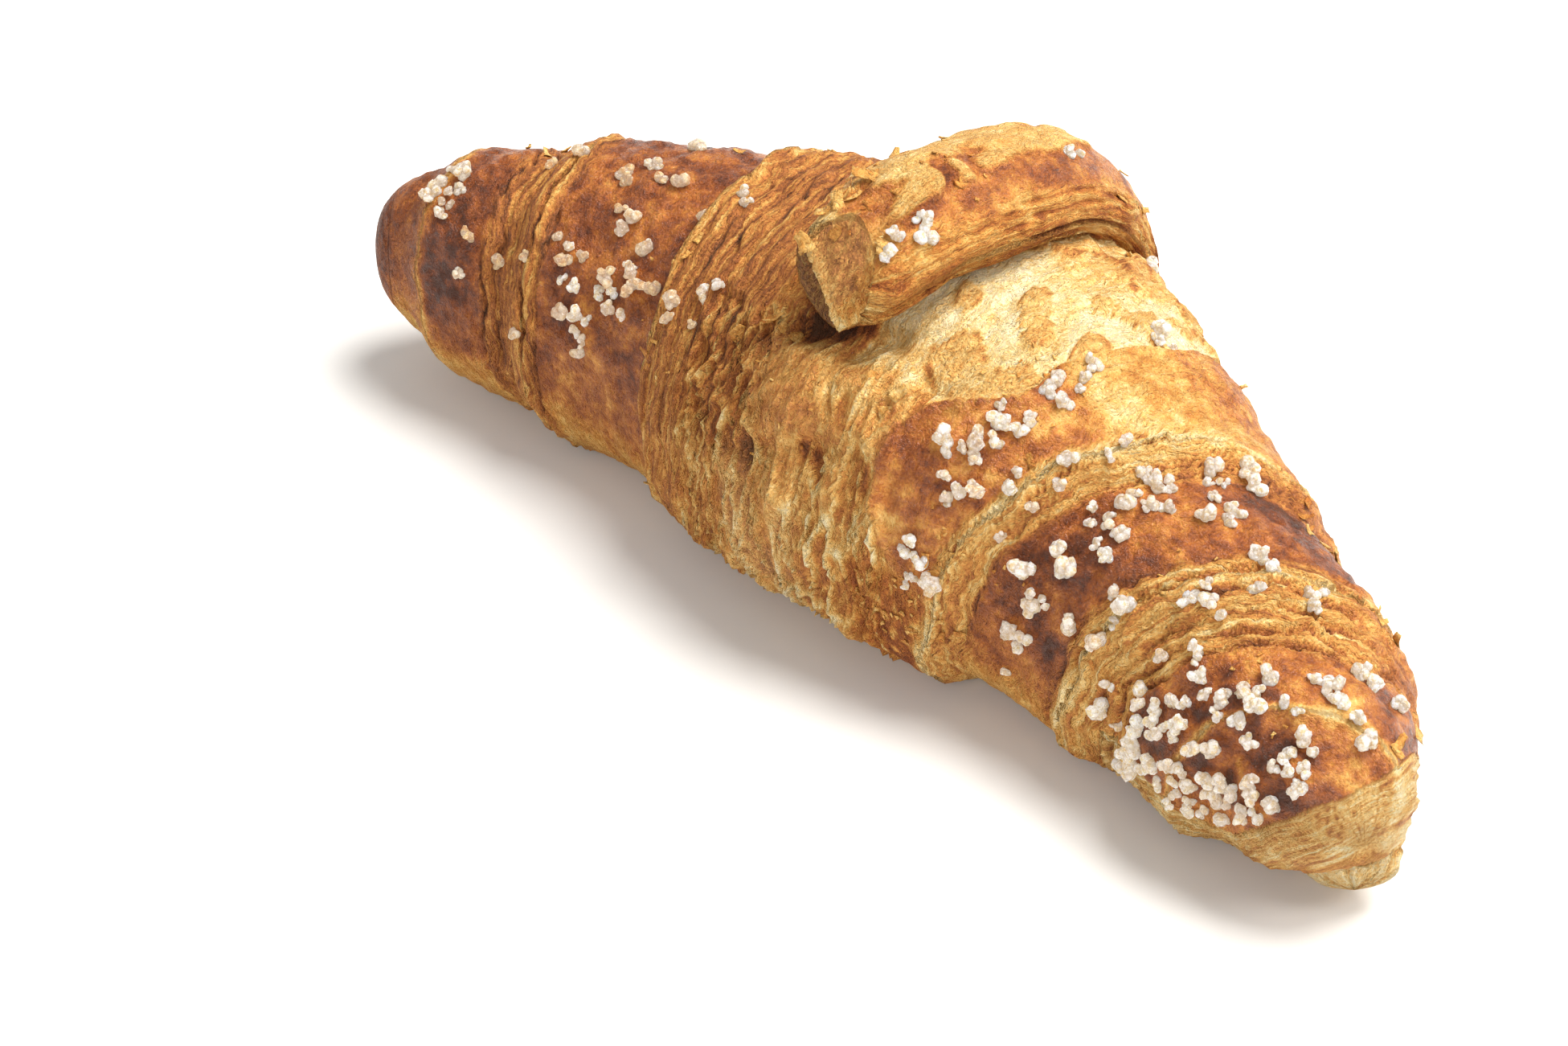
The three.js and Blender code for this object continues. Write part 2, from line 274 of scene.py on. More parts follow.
# For every edge of the sheet: how far beyond its crest a place lies, its turns and its style
def sheetEdges(distance, degrees, side):
    edges, skew = wraps[side]["edges"], wraps[side]["skew"]
    rows, last = list(enumerate(edges)), len(edges) - 1
    firstTurn = (0.25 - degrees / 360) % 1
    ringX, ringY = aroundRing(degrees)
    for number in range(len(edges)):
        turns = firstTurn + number
        style = np.clip(np.round(turns), 0, last).astype(int)
        sway = noise(ringX * 2.3, ringY * 2.3, number * 3.1 + len(side))
        sway = sway + 0.4 * noise(ringX * 7, ringY * 7, number * 5.3 + len(side))
        edge = smoothRows(rows, 1, np.minimum(turns, last))
        crest = edge + skew * ringX - styleValue(side, "slope", style) / 2 + wraps["sway"] * sway
        yield np.abs(distance) - crest, turns, style, turns <= last


def aroundRing(degrees):
    return np.cos(np.radians(degrees)), np.sin(np.radians(degrees))


def styleValue(side, name, style):
    return np.array([row[name] for row in edgeStyles[side]], float)[style]


# Adds height and finish for the turns of the sheet on one side of the dough
def foldSheet(distance, degrees, side, fields):
    here = distance < 0 if side == "left" else distance >= 0
    ringX, ringY = aroundRing(degrees)
    calm = 0.5 + 0.5 * window(degrees, *wraps["torn"])  # the back is less torn
    middle, width = wraps["groovePlace"]
    for q, turns, style, there in sheetEdges(distance, degrees, side):
        strength = smoothStep(turns, 0, 0.6) * there * here
        slope = styleValue(side, "slope", style)
        # up to the crest, down the slope, and back to level beyond its foot
        rise = np.where(
            q < 0, 0.5 * np.exp(np.minimum(q, 0) / wraps["crest"]),
            np.where(q < slope, 0.5 * np.cos(np.pi * q / slope),
                     -0.5 * np.exp(-np.maximum(q - slope, 0) / wraps["foot"])),
        )
        addTo(fields, height=wraps["height"] * strength * rise)
        band = styleValue(side, "band", style)
        low, high = band[..., 0], band[..., 1]
        wave = 0.6 * noise(ringX * 2.6, ringY * 2.6, turns // 1 + 9.5)
        wave = wave + 0.22 * noise(ringX * 8, ringY * 8, q * 0.3)
        layer = (q - low) / (high - low) * styleValue(side, "layers", style) + wave
        part, terrace = layered(layer, wraps["layerFall"])
        inside = window(q, low, high, 1.6) * strength * calm
        gate = smoothStep(noise(ringX * 2.2, ringY * 2.2, np.floor(layer) * 7.3 + style * 2.1), -0.25, 0.35)
        groove = peak(part - middle, width) * gate
        addTo(fields, height=inside * styleValue(side, "terrace", style) * (terrace - 0.3))
        addTo(fields, height=-inside * styleValue(side, "groove", style) * groove)
        ridge = peak(q + 0.2, wraps["rimWidth"]) * strength
        # the groove mask is darkened further on with painted shade
        atLeast(fields, layers=inside, groove=inside * groove, ridge=ridge)
        beyond = (q >= 0) & there & here
        fields["across"] = np.where(beyond & (style > 0), q, fields["across"])
        fields["turn"] = np.where(beyond, style, fields["turn"])


def addTo(fields, **values):
    for name, value in values.items():
        fields[name] = fields[name] + value


def atLeast(fields, **values):
    for name, value in values.items():
        fields[name] = np.maximum(fields[name], value)


# Sets a value where a mask says so
def paint(fields, mask, **values):
    for name, value in values.items():
        fields[name] = fields[name] + (value - fields[name]) * mask


# A mask with a torn outline: the mask itself, and its rim
def tear(mask, rough, sharp=0.12):
    torn = smoothStep(mask + rough, 0.5 - sharp, 0.5 + sharp)
    return torn, 4 * torn * (1 - torn)


crustLooks = {
    # how dark and how glossy the crust is after each edge, left and right
    "left": [(0.6, 0.2), (0.76, 0.85), (0.78, 0.8), (0.76, 0.5), (0.76, 0.5)],
    "right": [(0.55, 0.2), (0.82, 0.9), (0.8, 1.0), (0.8, 1.0), (0.8, 1.0)],
    "paintedTopLight": 0.2,  # painted light: how much lighter the right side is painted on top than in front
    "bands": (0.62, 0.42),  # how dark the layers at the cut edges are, left and right
    "under": 0.5,
    "blister": 0.46,  # height of the glazed crust's blisters
    "skin": 0.16,  # and of its fine unevenness
    # angle, and how far along the torn lip of the first glazed turn lies on the right
    "lip": [
        (-90, 31), (20, 30), (53, 27.5), (90, 24), (118, 22), (127, 17), (140, 14.5), (160, 15.5),
        (178, 20), (200, 25), (270, 31),
    ],
    # distance along from, to and softness, then angle from, to and softness
    "patches": {
        "front": (-23, 18, 5, 124, 222, 12),  # stretched and torn
        "gap": (-8, 7, 5, 118, 132, 9),  # a carved gap under the tongue's tip, darkened with painted shade
        "cells": (-24, -7, 5, 128, 168, 14),  # pulled open beside the left edge
        "films": (-12, 17, 6, 126, 176, 16),
        "backTop": (24, 50, 12, -20, 90, 50),
        "dusty": (12, 25, 4, 174, 228, 10),
        "leftSpot": (-77, -69, 5, 125, 172, 24),
    },
    # how dark, glossy, layered and crumbly each part of the crust is
    "finishes": {
        "dull": {"toast": 0.44, "glaze": 0.1},  # the lower front and the back
        # glazed crust painted lighter on the lit top and darker on the shaded front: painted light and shade
        "glazedTop": {"toast": 0.42, "glaze": 0.5},
        "glazedFront": {"toast": 0.64, "glaze": 0.9},
        "torn": {"toast": 0.58, "glaze": 0.15},
        "film": {"toast": 0.56, "glaze": 0.4, "crumb": 0.2},
        "dusty": {"toast": 0.7, "glaze": 0.15, "crumb": 0.0},
        "spot": {"toast": 0.9, "glaze": 0.9},
        "skirt": {"toast": 0.3, "glaze": 0.35, "layers": 0.9, "crumb": 0.25},
        "wedge": {"toast": 0.22, "layers": 0.3, "crumb": 0.3, "groove": 0.0},
        "leftEnd": {"toast": 0.84, "glaze": 0.4, "layers": 0.3},
    },
    # the right end's glaze stops at a sloping plane: its height above the floor from X, Y and 1
    "skirtPlane": (1.053, -0.286, -63.8),
    "skirtAngle": (187, 14, 67, 3.5),  # where it stops before the end, and its bulge: size, place, width
    "skirtEnd": (69, 73),  # over which the plane takes over
    "skirtSlant": 0.27,  # mm deeper for each degree further round
    "skirtLayer": 1.7,
    "wedgeDepth": 9.5,  # how deep below it the folded-in wedge of bare dough begins
}


# Distance below the glaze of the right horn's end, into its pale layers, in mm
def skirtDepth(distance, degrees, points):
    angle, bulge, middle, width = crustLooks["skirtAngle"]
    angle = angle + bulge * peak(distance - middle, width)
    alongX, alongY, height = crustLooks["skirtPlane"]
    belowPlane = alongX * points[..., 0] + alongY * points[..., 1] + height - points[..., 2]
    atEnd = smoothStep(distance, *crustLooks["skirtEnd"])
    depth = (degrees - angle) * crustLooks["skirtSlant"] * (1 - atEnd) + belowPlane * atEnd
    return np.where(distance > 50, depth, -9.0)


def patch(name, distance, degrees):
    place = crustLooks["patches"][name]
    return window(distance, *place[:3]) * window(degrees, *place[3:])


# Height and finish of the crust at every place, from the large shapes to the small
def crustFields(distance, degrees):
    names = "height layers groove ridge turn crumb ash rim toast glaze".split()
    fields = {name: np.zeros(distance.shape) for name in names}
    fields["across"] = np.abs(distance)
    foldSheet(distance, degrees, "left", fields)
    foldSheet(distance, degrees, "right", fields)
    smooth, closing = crustPoint(distance, degrees)
    px, py, pz = smooth[..., 0], smooth[..., 1], smooth[..., 2]
    ringX, ringY = aroundRing(degrees)
    finishes = crustLooks["finishes"]

    def grain(size, shift=0):
        return noise(px / size + shift, py / size, pz / size)

    slow, middling, blisters, fine = grain(14), grain(5), grain(2.6), grain(1.3)
    fibres = noise(distance / 0.9, ringX * 5, ringY * 5)
    wideFibres = noise(distance / 2.1, ringX * 3.2, ringY * 3.2 + 40)

    onLeft = distance < 0
    turn = fields["turn"].astype(int)
    for number, name in enumerate(("toast", "glaze")):
        looks = [np.array([look[number] for look in crustLooks[side]]) for side in ("left", "right")]
        fields[name] = np.where(onLeft, looks[0][turn], looks[1][turn])

    # the upper side is glazed and browned, the lower front and the back are duller
    dome = window(degrees + 8 * middling, 5, 188, 40)
    paint(fields, 1 - dome, **finishes["dull"])
    lip = smoothRows(crustLooks["lip"], 1, degrees) + 1.3 * middling + 0.5 * blisters
    glazed = smoothStep(distance - lip, -0.5, 0.5) * (distance < 45) * (turn == 0)
    # the glaze is painted lighter on the lit top and darker on the shaded front: painted light and shade
    paint(fields, glazed * dome, **finishes["glazedTop"])
    paint(fields, glazed * window(degrees, 100, 176, 14), **finishes["glazedFront"])
    # painted light: the top of the right side is painted lighter, where the light falls
    litTop = window(degrees, 75, 116, 40) * (distance > 0) * smoothStep(distance, 15, 35)
    addTo(fields, toast=0.14 * patch("backTop", distance, degrees) - crustLooks["paintedTopLight"] * litTop)

    # the stretched and torn front
    torn = (1 - glazed) * (turn == 0)
    front, _ = tear(patch("front", distance, degrees + 5 * middling) * torn, 0.2 * middling)
    crumbly = 0.15 + 0.5 * window(degrees, 165, 230, 25) * (1 - smoothStep(distance, -2, 8))
    paint(fields, front, **finishes["torn"], crumb=crumbly)
    folds = noise(distance / 6.5, ringX * 2.2 + 3, ringY * 2.2)
    creases = 1 - np.abs(noise(distance / 4.6 + 9, ringX * 2.8, ringY * 2.8)) * 2.2
    creases = np.maximum(creases, 0) ** 3
    above = 1 - smoothStep(degrees, 195, 215)
    addTo(fields, height=front * above * (1.1 * folds + 0.6 * creases - 0.4),
          toast=front * (0.1 * creases - 0.16 * folds))
    # a smooth, rounded flap hangs over a crease, which is darkened with painted shade
    flap = peak(distance + 0.5, 9) * peak(degrees - 145, 9)
    crease = peak(degrees - 158 + 0.65 * distance - 2.5 * middling, 4.6) * window(distance, -13, 11, 6)
    addTo(fields, height=front * (1.6 * flap - 0.8 * crease),
          toast=front * (0.2 * crease - 0.02 * flap), glaze=0.45 * front * flap)
    fields["crumb"] *= 1 - 0.6 * flap
    # long fibres, a few thick and many thin
    warp = 0.7 * grain(6)
    web = peak(cellGap(distance / 3.0 + warp, degrees / 34), 0.12)
    thin = peak(cellGap(distance / 1.3 + 1.5 * warp, degrees / 17, seed=5), 0.17)
    fibrous = front * (1 - 0.75 * flap)
    addTo(fields, height=fibrous * (0.8 * web + 0.35 * thin - 0.35),
          toast=fibrous * (0.08 - 0.24 * web - 0.16 * thin))
    atLeast(fields, ridge=fibrous * np.maximum(web, 0.5 * thin))
    # a carved gap under the tongue's tip, darkened with painted shade
    gap = patch("gap", distance, degrees)
    addTo(fields, height=-2.4 * gap, toast=0.35 * gap)
    cells = patch("cells", distance, degrees)
    comb = peak(cellGap(distance / 2.6 + 0.5 * middling, degrees / 12, seed=31), 0.15)
    addTo(fields, height=cells * (1.4 * comb - 0.7))
    # painted shade in the sunken pits between the cells' webs
    atLeast(fields, ridge=cells * comb, rim=0.25 * cells * (1 - comb))

    # thin films of crust that still cling to the torn front
    films = noise(distance / 6.5, ringX * 2.9, ringY * 2.9 + 7)
    film, filmRim = tear(0.25 + 0.5 * patch("films", distance, degrees), 0.8 * films - 0.1, 0.05)
    addTo(fields, height=0.6 * film * front)
    paint(fields, film * front, **finishes["film"])
    atLeast(fields, ridge=0.8 * filmRim * front)

    # the pale hollow beside the tongue, and the brown lip where its crust tore
    beside = window(degrees + 3 * middling, 18, 128, 8) * (distance > 2) * torn
    paint(fields, beside, toast=0.14 - 0.14 * blisters, glaze=0.05, crumb=0.3)
    paint(fields, beside * smoothStep(degrees, 104, 126), toast=0.42)
    rooted = beside * window(distance, 6, 18, 5) * (1 - smoothStep(degrees, 60, 100))
    paint(fields, 0.8 * rooted, toast=0.26, layers=0.8)
    rimLine = peak(distance - lip - 0.3, 0.9) * window(degrees, 116, 168, 20)
    addTo(fields, height=0.5 * rooted * wideFibres - 1.2 * beside + 0.9 * rimLine)
    paint(fields, 0.8 * rimLine, toast=0.7)
    shred, shredRim = tear(beside, 0.9 * grain(5.5, 4) - 0.6, 0.06)
    addTo(fields, height=0.6 * shred * beside)
    paint(fields, shred * beside, toast=0.36)
    atLeast(fields, rim=shredRim * beside)

    dusty = patch("dusty", distance, degrees)
    paint(fields, dusty, **finishes["dusty"])
    dust = smoothStep(grain(1.1) + 0.5 * middling, 0.35, 0.6) * dusty
    paint(fields, 0.8 * dust, toast=0.3)
    paint(fields, patch("leftSpot", distance, degrees), **finishes["spot"])

    # layers at the cut edges are pale, their crests paler, and the grooves between them are darkened further
    # on with painted shade
    bandToast = np.where(onLeft, *crustLooks["bands"])
    paint(fields, 0.9 * fields["layers"], toast=bandToast, glaze=0.12, crumb=0.2)
    # the right end's pale layers, and the wedge of bare dough folded in below them
    depth = skirtDepth(distance, degrees, smooth) + 0.9 * middling + 0.6 * slow
    skirt = smoothStep(depth, -0.3, 0.4)
    part, terrace = layered(depth / crustLooks["skirtLayer"] + 0.35 * wideFibres, 0.7)
    crack = peak(part - 0.9, 0.16) * smoothStep(wideFibres, -0.5, 0.1)
    paint(fields, skirt, **finishes["skirt"])
    addTo(fields, height=skirt * (0.8 * terrace - 0.4 + 0.7 * middling))
    # the cracks' groove mask is darkened further on with painted shade
    atLeast(fields, groove=0.7 * skirt * crack)
    wedgeDepth = (depth - crustLooks["wedgeDepth"]) * smoothStep(distance, 72, 75)
    wedge = smoothStep(wedgeDepth, 0, 0.6)
    paint(fields, wedge, **finishes["wedge"])
    cleft = peak(wedgeDepth, 0.5) * skirt * (distance > 72)
    addTo(fields, height=-wedge - 0.8 * cleft)
    # the cleft's groove mask is darkened further on with painted shade
    atLeast(fields, groove=0.8 * cleft)
    # the left end is darker, in faint rings
    leftEnd = smoothStep(0.62 - closing, 0, 0.2) * onLeft
    paint(fields, leftEnd, **finishes["leftEnd"])
    # painted shade in the grooves, cracks, clefts and the cells' pits, darker torn rims, and paler crests
    addTo(fields, height=leftEnd * 0.4 * layered(closing * 12 + 0.8 * wideFibres, 0.75)[1],
          toast=0.4 * fields["groove"] + 0.35 * fields["rim"] - 0.22 * fields["ridge"])

    under = smoothStep(-ringY, 0.45, 0.8)
    paint(fields, under, toast=crustLooks["under"], glaze=0.0, crumb=0.2)

    glaze = fields["glaze"]
    waves = 0.45 * (slow + middling) * (1 - 0.5 * under) + 0.2 * fields["layers"] * fibres
    waves += glaze * crustLooks["blister"] * (np.maximum(blisters, -0.3) + 0.5 * fine)
    waves += (1 - glaze) * crustLooks["skin"] * (fibres + 1.4 * wideFibres + fine)
    addTo(fields, height=waves, toast=0.07 * slow + 0.06 * wideFibres * (1 - glaze) - 0.09 * blisters * glaze)
    fields["height"] *= closing
    # the layers' direction: across them first, with its own start for each part
    across = np.where(skirt > 0.5, 1.6 * depth + 200, fields["across"] + 40 * fields["turn"])
    across = np.where(leftEnd > 0.5, closing * 14 + 260, across)
    fields["way"] = np.stack([across, ringX * 24, ringY * 24], -1)
    return fields


finishNames = ("toast", "glaze", "layers", "crumb", "ash")


def setDown(points):
    place = np.array([*dough["place"], 0.0])
    return (points + place) * metre


# Gives every point of a mesh a number or a vector
def setPoints(mesh, name, values):
    values = np.asarray(values, np.float32)
    kind, key = ("FLOAT", "value") if values.ndim == 1 else ("FLOAT_VECTOR", "vector")
    mesh.attributes.new(name, kind, "POINT").data.foreach_set(key, values.ravel())


def pointValues(mesh, name):
    key, size = ("vector", 3) if name == "way" else ("value", 1)
    values = np.empty(len(mesh.vertices) * size, np.float32)
    mesh.attributes[name].data.foreach_get(key, values)
    return values.reshape(-1, size)


# A closed skin through rings of points, drawn together to a point at each end
def skinThrough(name, rings, ends, fields, endFields, chart):
    rows, columns = rings.shape[:2]
    points = np.concatenate([ends[:1], rings.reshape(-1, 3), ends[1:]])
    index = 1 + np.arange(rows * columns).reshape(rows, columns)
    after = np.roll(index, -1, axis=1)
    quads = np.stack([index[:-1], after[:-1], after[1:], index[1:]], -1).reshape(-1, 4)
    firstFan = np.stack([np.zeros(columns, int), after[0], index[0]], -1)
    lastFan = np.stack([np.full(columns, len(points) - 1), index[-1], after[-1]], -1)
    left, low, wide, tall = chart
    u = left + wide * (np.arange(rows) + 1) / (rows + 1)
    v = low + tall * np.arange(columns + 1) / columns
    quadPlaces = np.empty((rows - 1, columns, 4, 2))
    for corner, (row, column) in enumerate([(0, 0), (0, 1), (1, 1), (1, 0)]):
        quadPlaces[:, :, corner, 0] = u[row:rows - 1 + row, None]
        quadPlaces[:, :, corner, 1] = v[None, column:columns + column]
    fanPlaces = np.empty((2, columns, 3, 2))
    for fan, (pole, ring, order) in enumerate([(left, u[0], (1, 0)), (left + wide, u[-1], (0, 1))]):
        fanPlaces[fan, :, 0] = np.stack([np.full(columns, pole), (v[1:] + v[:-1]) / 2], -1)
        for corner, step in enumerate(order):
            fanPlaces[fan, :, corner + 1] = np.stack([np.full(columns, ring), v[step:columns + step]], -1)
    mesh = bpy.data.meshes.new(name)
    mesh.from_pydata(setDown(points), [], quads.tolist() + firstFan.tolist() + lastFan.tolist())
    places = np.concatenate([quadPlaces.reshape(-1, 2), fanPlaces.reshape(-1, 2)])
    mesh.uv_layers.new(name="OFBake").data.foreach_set("uv", places.astype(np.float32).ravel())
    for field in finishNames:
        first, last = (end.get(field, 0) for end in endFields)
        setPoints(mesh, field, np.concatenate([[first], fields[field].ravel(), [last]]))
    way = fields["way"]
    setPoints(mesh, "way", np.concatenate([way[0, :1], way.reshape(-1, 3), way[-1, :1]]))
    setPoints(mesh, "known", np.ones(len(points)))  # 1 at every point that isn't made by a join
    mesh.update()
    piece = bpy.data.objects.new(name, mesh)
    bpy.context.scene.collection.objects.link(piece)
    return piece


def rollSkin():
    rows, columns = dough["rows"], dough["columns"]
    # rows crowd a little towards the blunt ends
    even = 2 * (np.arange(rows) + 1) / (rows + 1) - 1
    crowded = np.sin(even * np.pi / 2 * 0.94) / np.sin(np.pi / 2 * 0.94)
    along = 0.45 * crowded + 0.55 * even
    distance = along * np.where(along < 0, *dough["hornLengths"])
    fine = np.linspace(-90, 270, 2000)
    weight = dough["underColumns"] + (1 - dough["underColumns"]) * window(fine, -25, 222, 30)
    total = np.concatenate([[0], np.cumsum(weight[:-1])])
    degrees = np.interp(np.arange(columns) / columns * total[-1], total, fine)
    distance, degrees = np.meshgrid(distance, degrees, indexing="ij")
    fields = crustFields(distance, degrees)
    rings = crustPoint(distance, degrees, fields["height"])[0]
    rings[..., 2] = np.maximum(rings[..., 2], 0)
    left, right = dough["hornLengths"]
    ends = np.stack([crustPoint(-left, 0.0)[0], crustPoint(right, 0.0)[0]])
    endFields = [{"toast": 0.55, "crumb": 0.3}, {"toast": 0.35, "crumb": 0.5}]
    return skinThrough("roll", rings, ends, fields, endFields, dough["chart"])


def tongueSkin():
    steps, endRings = tongue["steps"], tongue["endRings"]
    first, last = tongue["rows"][0][0], tongue["rows"][-1][0]
    # the last rings turn into the hollow end
    inwards = 1 - (np.arange(endRings) + 1) / (endRings + 1)
    share = np.concatenate([np.linspace(0, 1, steps), np.ones(endRings)])
    reach = np.concatenate([np.ones(steps), inwards])[:, None]
    ring = np.linspace(0, 2 * np.pi, tongue["around"], endpoint=False)
    share, ring = np.meshgrid(share, ring, indexing="ij")
    x, z = np.cos(ring), np.sin(ring)
    nose = np.clip((share - 0.9) / 0.1, 0, 1) ** 2
    spread = reach * (1 - tongue["nose"] * nose * smoothStep(x, -0.4, 0.6))
    degrees = first + (last - first) * share
    middle, halfWidth, rise, sink = (smoothRows(tongue["rows"], i, degrees) for i in (1, 2, 3, 4))
    distance = middle + x * spread * halfWidth
    out = (rise - sink) / 2 + spread * (z * (rise + sink) / 2)
    # the two faces of the broken end, with a ridge between them
    layers, bareFace = (
        face[0] + face[1] * distance + face[2] * out + face[3] * out**2
        for face in (tongue["layeredFace"], tongue["bareFace"])
    )
    bareFace = bareFace + tongue["bareRight"] * np.maximum(distance - 2, 0) ** 2
    onLeft = 1 - smoothStep(distance, 0.5, 2.5)
    ridge = peak(layers - bareFace, 1.4) * onLeft * smoothStep(out, 0.5, 3.5)
    hollow = smoothStep(bareFace - layers, -0.5, 2.5) * onLeft
    ragged = noise(distance / 1.7, out / 1.7, 3.0) + 0.5 * noise(distance / 0.7, out / 0.7, 8.0)
    end = np.minimum(np.minimum(layers, bareFace), tongue["tipEnd"]) + 1.2 * ridge + 0.35 * ragged
    degrees = degrees + (end - last) * smoothStep(share, 0.6, 1)
    cap = np.arange(len(reach))[:, None] >= steps

    # browned on top, in pale layers along its right flank, with painted shade in the grooves between them
    side = ring / (2 * np.pi)
    top = smoothStep(z, -0.3, 0.4)
    rightFlank = window(x, 0.45, 1.3, 0.3) * window(z, -0.5, 0.62, 0.4)
    bumps = noise(share * 15, x * 2.6, z * 2.6)
    fine = noise(share * 60, x * 8, z * 8)
    lengthwise = noise(share * 3.5, x * 9, z * 9)
    layer = side * 34 + 0.7 * noise(share * 5, x * 1.5, z * 1.5)
    part, terrace = layered(layer, 0.7)
    gate = smoothStep(noise(share * 4.5, np.floor(layer) * 3.7, 5.0), -0.3, 0.3)
    groove = peak(part - 0.85, 0.16) * gate * rightFlank
    height = 0.4 * bumps + 0.14 * fine + 0.12 * lengthwise + 0.5 * (terrace - 0.3) * rightFlank - 0.6 * groove
    fields = {name: np.zeros(share.shape) for name in finishNames}
    addTo(fields, toast=tongue["browning"] + 0.14 * bumps - 0.18 * rightFlank + 0.3 * groove,
          glaze=tongue["gloss"] * top * (1 - 0.8 * rightFlank), layers=0.7 * rightFlank)
    # flaky, torn crust on its upper left, and a lip around the end
    torn = window(share, 0.5, 0.98, 0.1) * window(x, -1.3, 0.4, 0.5) * top
    flaky, flakyRim = tear(torn, 0.9 * noise(share * 14, x * 2.8, z * 2.8 + 3) - 0.1, 0.09)
    paint(fields, flaky, **tongue["flaky"])
    lip = peak(1 - share, 0.01) * ~cap * (1 - smoothStep(x, -0.1, 0.3))
    height += 0.6 * flaky + 0.35 * lip * (1 + noise(x * 4, z * 4, 1.0))
    addTo(fields, toast=0.16 * flakyRim - 0.15 * lip)

    # the end: bare, porous crumb on the upper face, and rolled layers in the hollow of the other, dark and
    # grey with painted shade
    turns = (bareFace - layers) * 1.1 + 0.6 * noise(distance / 3, out / 3, 6.0)
    rolled = turns - np.floor(turns)
    lumps = noise(distance / 1.3, out / 1.3, 4.0) + 0.6 * noise(distance / 0.6, out / 0.6, 2.0)
    crusted = smoothStep(distance + 0.8 * ragged + 0.8 * np.maximum(6.5 - out, 0), 1.6, 2.6)
    bare = cap * (1 - hollow) * (1 - crusted)
    paint(fields, bare, toast=0.62 - 0.14 * lumps, glaze=0.0, crumb=0.45, layers=0.0)
    paint(fields, cap * crusted, toast=0.46 + 0.12 * ragged, glaze=0.3, layers=0.3)
    paint(fields, cap * hollow, **tongue["hollow"])
    addTo(fields, toast=cap * (hollow * (0.5 * rolled - 0.3) - 0.25 * ridge))
    # the ridge between the two faces is left out of the painted shade
    fields["ash"] *= 1 - ridge

    # height lifts the sides, and the end is dished along the tongue's own direction
    points = crustPoint(distance, degrees, out)[0]
    outwards = points - crustPoint(middle, degrees, (rise - sink) / 2)[0]
    size = np.linalg.norm(outwards, axis=-1, keepdims=True)
    points = points + outwards / np.maximum(size, 1e-6) * (height * ~cap)[..., None]
    ahead = crustPoint(middle[0], last, 5)[0][0] - crustPoint(middle[0], last - 2.0, 5)[0][0]
    ahead /= np.linalg.norm(ahead)
    inner = 1 - reach
    depth = hollow * (tongue["dish"] * smoothStep(inner, 0, 0.45) - 0.9 * rolled * smoothStep(inner, 0, 0.2))
    depth = depth - tongue["pitted"] * lumps * (1 - hollow) * smoothStep(inner, 0, 0.1)
    points -= ahead * (cap * depth)[..., None]
    sideWay = [side * 60 + 300, share * 30, 0 * x]
    endWay = [np.where(hollow > 0.5, turns * 1.5, distance * 0.7) + 400, out * 3.0, distance * 3.0]
    fields["way"] = np.stack([np.where(cap, *ways) for ways in zip(endWay, sideWay)], -1)
    startPoint = crustPoint(tongue["rows"][0][1], first, (rise[0, 0] - sink[0, 0]) / 2)[0]
    ends = np.stack([startPoint, points[-1].mean(0)])
    # the end's pole lies in the hollow, in painted shade
    endFields = [{"toast": 0.5}, {"toast": 0.6, "ash": 0.9, "crumb": 0.6}]
    return skinThrough("tongue", points, ends, fields, endFields, tongue["chart"])


def tailSkin():
    root, tip = np.array(tail["root"], float), np.array(tail["tip"], float)
    way = tip - root
    length = np.linalg.norm(way)
    way /= length
    # the tail's own sideways and upwards directions
    level = np.cross([0, 0, 1], way)
    level /= np.linalg.norm(level)
    upright = np.cross(way, level)
    share = np.linspace(0, 1, tail["steps"])[:, None]
    ring = np.linspace(0, 2 * np.pi, tail["around"], endpoint=False)[None]
    radius = tail["rootRadius"] + (tail["tipRadius"] - tail["rootRadius"]) * share
    radius = radius * np.sqrt(np.clip(1 - np.maximum((share - 0.8) / 0.2, 0) ** 2 * 0.9, 0.1, 1))
    x, z = np.cos(ring), np.sin(ring)
    folds = noise(share * 2.5, x * 2.2, z * 2.2 + 3) + 0.5 * noise(share * 6, x * 6, z * 6)
    creases = peak(cellGap(share * 2 + 0 * x, (ring + 0 * share) * 1.6, seed=7), 0.12)
    reach = radius + 0.7 * folds - 0.5 * creases
    across, above = (reach * x)[..., None], (reach * z * tail["flatness"])[..., None]
    points = root + way * (share * length)[..., None] + level * across + upright * above
    points[..., 2] = np.maximum(points[..., 2], 0.15)
    fields = {name: np.zeros(points.shape[:2]) for name in finishNames}
    plain, inFolds, creaseShade = tail["toast"]
    # the creases are darkened with painted shade
    addTo(fields, toast=plain + inFolds * folds + creaseShade * creases, crumb=0.6, layers=0.5)
    fields["way"] = np.stack(np.broadcast_arrays(ring * 6 + 500, share * 10, 0.0), -1)
    ends = np.stack([root, tip + way * 0.3])
    endFields = [{"toast": 0.3}, {"toast": 0.35}]
    return skinThrough("tail", points, ends, fields, endFields, tail["chart"])


# Takes out points where only two edges meet, which would leave a fin with nothing inside
def dropFins(mesh):
    work = bmesh.new()
    work.from_mesh(mesh)
    bmesh.ops.remove_doubles(work, verts=work.verts, dist=1e-7)
    spare = [point for point in work.verts if len(point.link_edges) == 2]
    bmesh.ops.dissolve_verts(work, verts=spare)
    odd = [edge for edge in work.edges if len(edge.link_faces) != 2]
    print("crust joined,", len(spare), "spare points taken out,", len(odd), "edges left open")
    work.to_mesh(mesh)
    work.free()


